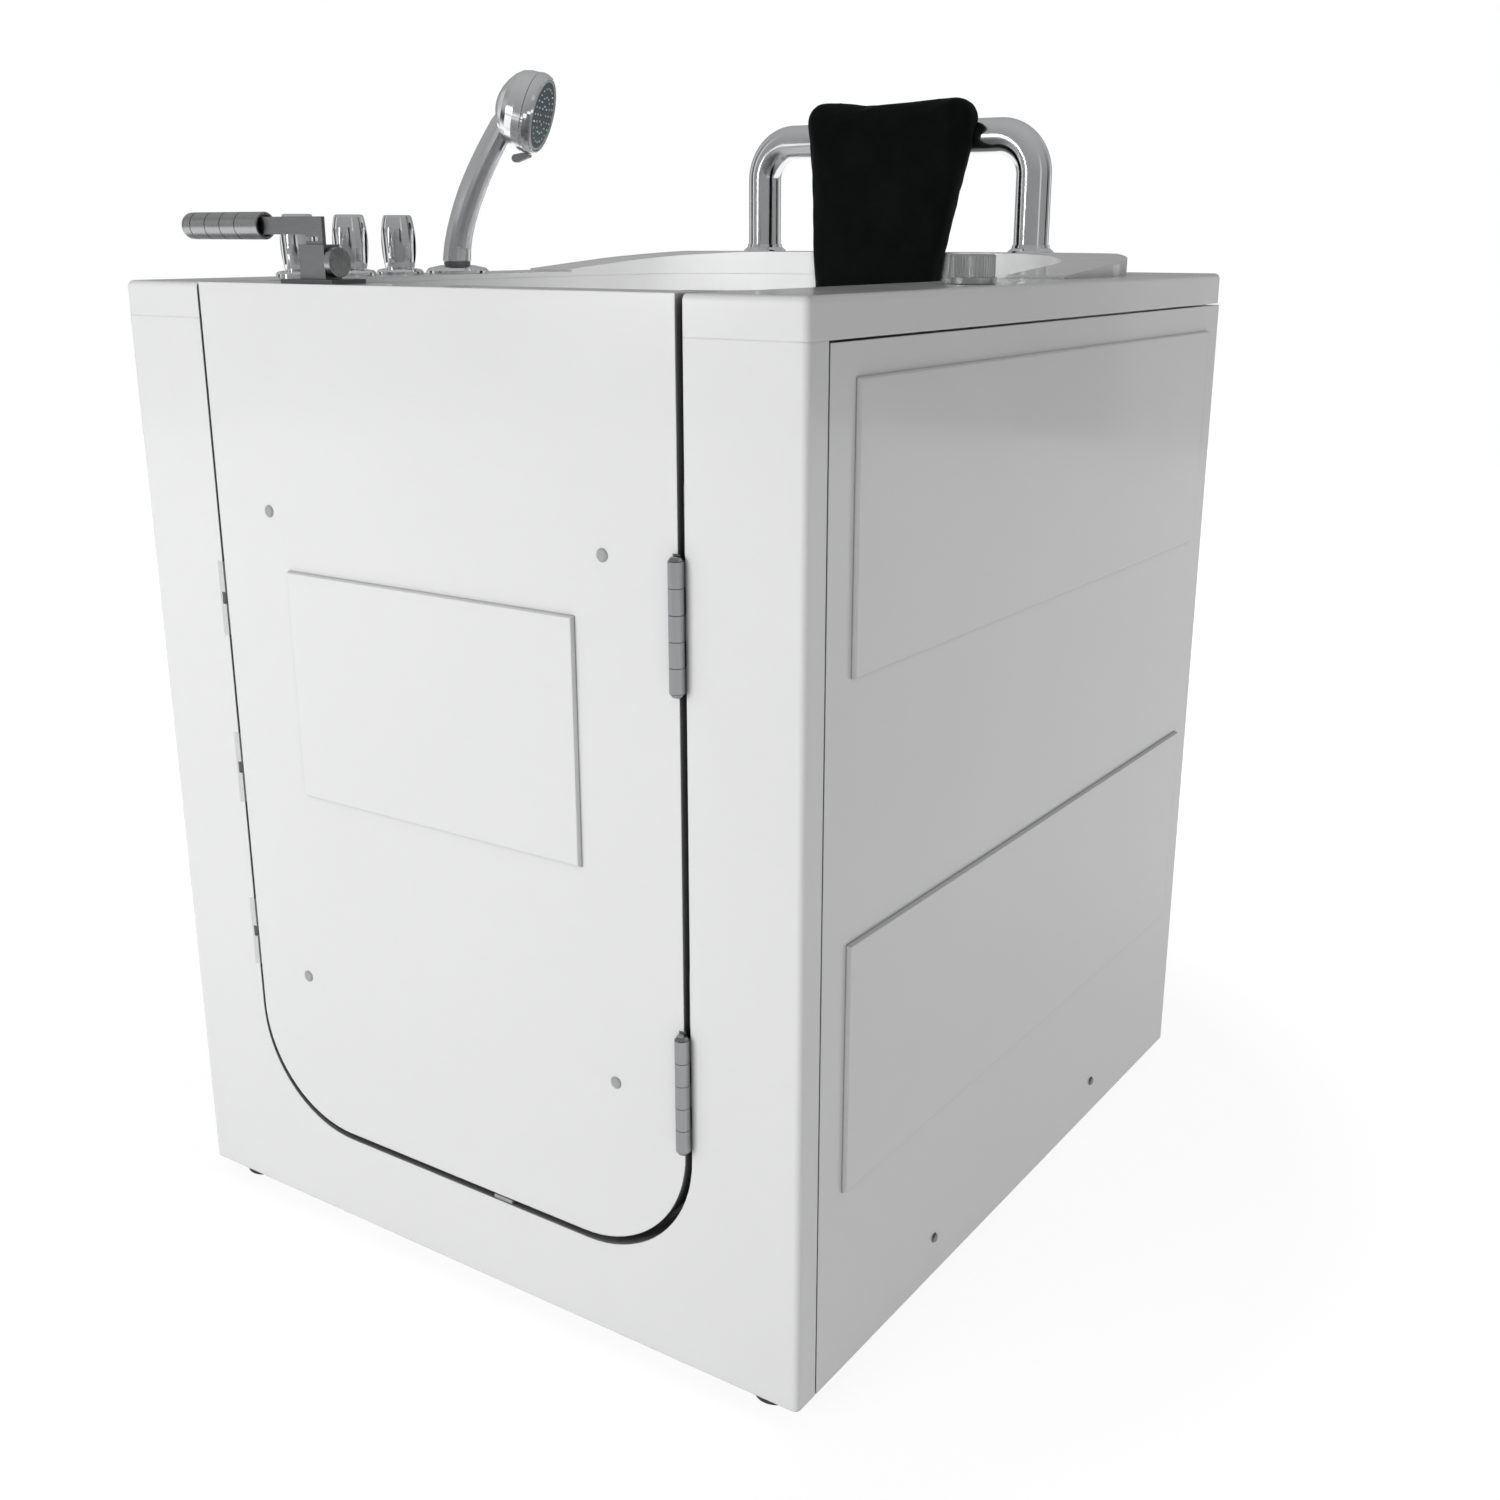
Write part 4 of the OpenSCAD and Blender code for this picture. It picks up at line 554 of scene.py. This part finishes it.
def inflate(pad, h, turn):
    # the filling swells the cover by cloth simulation, and the back stays flat
    remesh = pad.modifiers.new("even", "REMESH")
    remesh.mode = "VOXEL"
    remesh.voxel_size = h["voxel"]
    keepMesh(pad)
    rest = [v.co.copy() for v in pad.data.vertices]
    cloth = pad.modifiers.new("cloth", "CLOTH")
    for name, value in h["cloth"].items():
        setattr(cloth.settings, name, value)
    cloth.settings.effector_weights.gravity = 0
    cloth.point_cache.frame_start = 1
    cloth.point_cache.frame_end = h["steps"]
    scene = bpy.context.scene
    for step in range(1, h["steps"] + 1):
        scene.frame_set(step)
    keepMesh(pad)
    scene.frame_set(1)
    upright = turn.inverted()
    for vert, start in zip(pad.data.vertices, rest):
        move = vert.co - start
        if move.length > h["cap"]:
            vert.co = start + move.normalized() * h["cap"]
        place = upright @ vert.co
        back = headrestBack(h, place.z)
        if place.y > back:
            place.y = back
            vert.co = turn @ place
    smooth = pad.modifiers.new("smooth", "SMOOTH")
    smooth.factor, smooth.iterations = h["smoothing"]
    finer = pad.modifiers.new("finer", "SUBSURF")
    finer.levels = finer.render_levels = 1
    keepMesh(pad)
    smoothShade(pad)


def grooves(pad, h, turn):
    # pushes the back away from the bar and from the two clips
    upright = turn.inverted()
    for vert in pad.data.vertices:
        place = upright @ vert.co
        x = place.x + h["at"][0] - h["clipCentre"]
        clip = abs(abs(x) - h["clipAt"]) < h["clipHalf"]
        radius = h["clipGroove"] if clip else h["barGroove"]
        reach = math.hypot(place.y, place.z)
        if reach < radius:
            scale = radius / max(reach, h["leastReach"])
            place.y, place.z = min(-h["leastDepth"], place.y) * scale, place.z * scale
            if clip and place.y < h["clipFlat"]:
                place.y = h["clipFlat"]
            vert.co = turn @ place


cushion = buildHeadrest(headrest)
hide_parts("headrest")
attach(cushion, "pillow")
print("headrest built:", len(cushion.data.vertices), "points")

# seat edge

# a strip over the slit that the CAD basin has along the seat's rounded front edge
seatEdge = {
    "half": 0.2522, "at": (-0.0105, 0.5340),   # half its width, and the middle of its round in Y and Z
    "outer": 0.0259, "inner": 0.0195,
    "turn": (84, 186), "steps": 24,            # degrees from +Y
    "sharp": 40,
}


def buildSeatEdge(e):
    verts, faces = [], []
    outer, inner = (arc(e["at"], e[side], *e["turn"], e["steps"]) for side in ("outer", "inner"))
    for x in (-e["half"], e["half"]):
        for pair in zip(outer, inner):
            verts += [(x, *point) for point in pair]
    row = 2 * (e["steps"] + 1)
    for i in range(0, row - 2, 2):
        faces += [(i, i + 2, row + i + 2, row + i), (i + 1, row + i + 1, row + i + 3, i + 3),
                  (i, i + 1, i + 3, i + 2), (row + i, row + i + 2, row + i + 3, row + i + 1)]
    faces += [(0, row, row + 1, 1), (row - 2, row - 1, 2 * row - 1, 2 * row - 2)]
    edge = addMesh("seatEdge", verts, faces, acrylic)
    edge.data.set_sharp_from_angle(angle=math.radians(e["sharp"]))
    return edge


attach(buildSeatEdge(seatEdge), "tub")
print("seat edge built")

# spray nozzles

sprayNozzles = {
    "handset": (-0.3495, -0.0375, 1.0288),   # foot of the hand shower's handle
    "yaw": 24.0,
    "head": (0.099, 0, 0.164),
    "tilt": 106.0,
    "ringStep": 0.0099, "rings": 3, "perRing": 8,    # the second ring has twice as many, and so on
    "width": 0.0013, "height": 0.0016, "lift": 0.0125,
    "sides": 10, "tip": 0.66,
}


def nozzleTree(n, material):
    # a small rubber cone on every point of the rings
    tree = bpy.data.node_groups.new("nozzleRings", "GeometryNodeTree")
    tree.interface.new_socket("Geometry", in_out="INPUT", socket_type="NodeSocketGeometry")
    for name in ("Ring Step", "Width", "Height"):
        tree.interface.new_socket(name, in_out="INPUT", socket_type="NodeSocketFloat")
    tree.interface.new_socket("Geometry", in_out="OUTPUT", socket_type="NodeSocketGeometry")
    start = tree.nodes.new("NodeGroupInput").outputs
    end = tree.nodes.new("NodeGroupOutput")
    join = tree.nodes.new("GeometryNodeJoinGeometry")
    for ring in range(1, n["rings"] + 1):
        circle = tree.nodes.new("GeometryNodeMeshCircle")
        circle.inputs["Vertices"].default_value = n["perRing"] * ring
        tree.links.new(mathNode(tree, "MULTIPLY", start["Ring Step"], ring), circle.inputs["Radius"])
        tree.links.new(circle.outputs["Mesh"], join.inputs[0])
    cone = tree.nodes.new("GeometryNodeMeshCone")
    cone.inputs["Vertices"].default_value = n["sides"]
    tree.links.new(mathNode(tree, "MULTIPLY", start["Width"], n["tip"]), cone.inputs["Radius Top"])
    tree.links.new(start["Width"], cone.inputs["Radius Bottom"])
    tree.links.new(start["Height"], cone.inputs["Depth"])
    spread = tree.nodes.new("GeometryNodeInstanceOnPoints")
    tree.links.new(join.outputs[0], spread.inputs["Points"])
    tree.links.new(cone.outputs["Mesh"], spread.inputs["Instance"])
    solid = tree.nodes.new("GeometryNodeRealizeInstances")
    tree.links.new(spread.outputs[0], solid.inputs[0])
    finish = tree.nodes.new("GeometryNodeSetMaterial")
    finish.inputs["Material"].default_value = material
    tree.links.new(solid.outputs[0], finish.inputs["Geometry"])
    tree.links.new(finish.outputs["Geometry"], end.inputs[0])
    return tree


def grow(obj, tree, values):
    # runs a tree on an object and keeps what it makes
    modifier = obj.modifiers.new(tree.name, "NODES")
    modifier.node_group = tree
    for item in tree.interface.items_tree:
        if item.item_type == "SOCKET" and item.in_out == "INPUT" and item.name in values:
            modifier[item.identifier] = values[item.name]
    return keepMesh(obj)


def buildNozzles(n):
    mesh = bpy.data.meshes.new("sprayNozzles")
    mesh.from_pydata([(0, 0, 0)], [], [])
    obj = bpy.data.objects.new("sprayNozzles", mesh)
    bpy.context.collection.objects.link(obj)
    grow(obj, nozzleTree(n, nozzleRubber.material),
         {"Ring Step": n["ringStep"], "Width": n["width"], "Height": n["height"]})
    place = (Matrix.Translation(n["handset"]) @ Matrix.Rotation(math.radians(n["yaw"]), 4, "Z")
             @ Matrix.Translation(n["head"]) @ Matrix.Rotation(math.radians(n["tilt"]), 4, "Y")
             @ Matrix.Translation((0, 0, n["lift"])))
    obj.data.transform(place)
    outwards(obj)
    return obj


nozzles = buildNozzles(sprayNozzles)
paint(nozzles, nozzleRubber)
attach(nozzles, "handset")
print("nozzles:", len(nozzles.data.polygons), "faces")

# floor

floorPlan = {
    "size": 14.0,
    "grey": 0.88, "roughness": 0.85, "shine": 0.1,
    "glow": 1.13,                                   # plain white for the camera away from the tub
    "fade": ((0.7, 0.8), (1.3, 1.0)),               # distance and share of the glow, so the shadow stays
}


def buildFloor(f):
    mesh = bpy.data.meshes.new("floor")
    half = f["size"] / 2
    mesh.from_pydata([(-half, -half, 0), (half, -half, 0), (half, half, 0), (-half, half, 0)], [], [(0, 1, 2, 3)])
    floor = bpy.data.objects.new("floor", mesh)
    bpy.context.collection.objects.link(floor)
    material = bpy.data.materials.new("paleFloor")
    material.use_nodes = True
    mesh.materials.append(material)
    tree = material.node_tree
    shader = tree.nodes["Principled BSDF"]
    shader.inputs["Base Color"].default_value = (*[f["grey"]] * 3, 1)
    shader.inputs["Roughness"].default_value = f["roughness"]
    shader.inputs["Specular IOR Level"].default_value = f["shine"]
    glow = tree.nodes.new("ShaderNodeEmission")
    glow.inputs["Color"].default_value = (1, 1, 1, 1)
    glow.inputs["Strength"].default_value = f["glow"]
    length = tree.nodes.new("ShaderNodeVectorMath")
    length.operation = "LENGTH"
    tree.links.new(tree.nodes.new("ShaderNodeTexCoord").outputs["Object"], length.inputs[0])
    fade = tree.nodes.new("ShaderNodeMapRange")
    for (distance, share), end in zip(f["fade"], ("Min", "Max")):
        fade.inputs["From " + end].default_value = distance
        fade.inputs["To " + end].default_value = share
    tree.links.new(length.outputs["Value"], fade.inputs["Value"])
    path = tree.nodes.new("ShaderNodeLightPath").outputs
    seen = mathNode(tree, "MAXIMUM", path["Is Camera Ray"], path["Is Glossy Ray"])
    seen = mathNode(tree, "MAXIMUM", seen, path["Is Transmission Ray"])
    shown = mathNode(tree, "MULTIPLY", seen, fade.outputs["Result"])
    tree.links.new(mixShaders(tree, shown, shader.outputs[0], glow.outputs[0]),
                   tree.nodes["Material Output"].inputs["Surface"])
    return floor


buildFloor(floorPlan)
bpy.context.scene.view_settings.view_transform = "Standard"
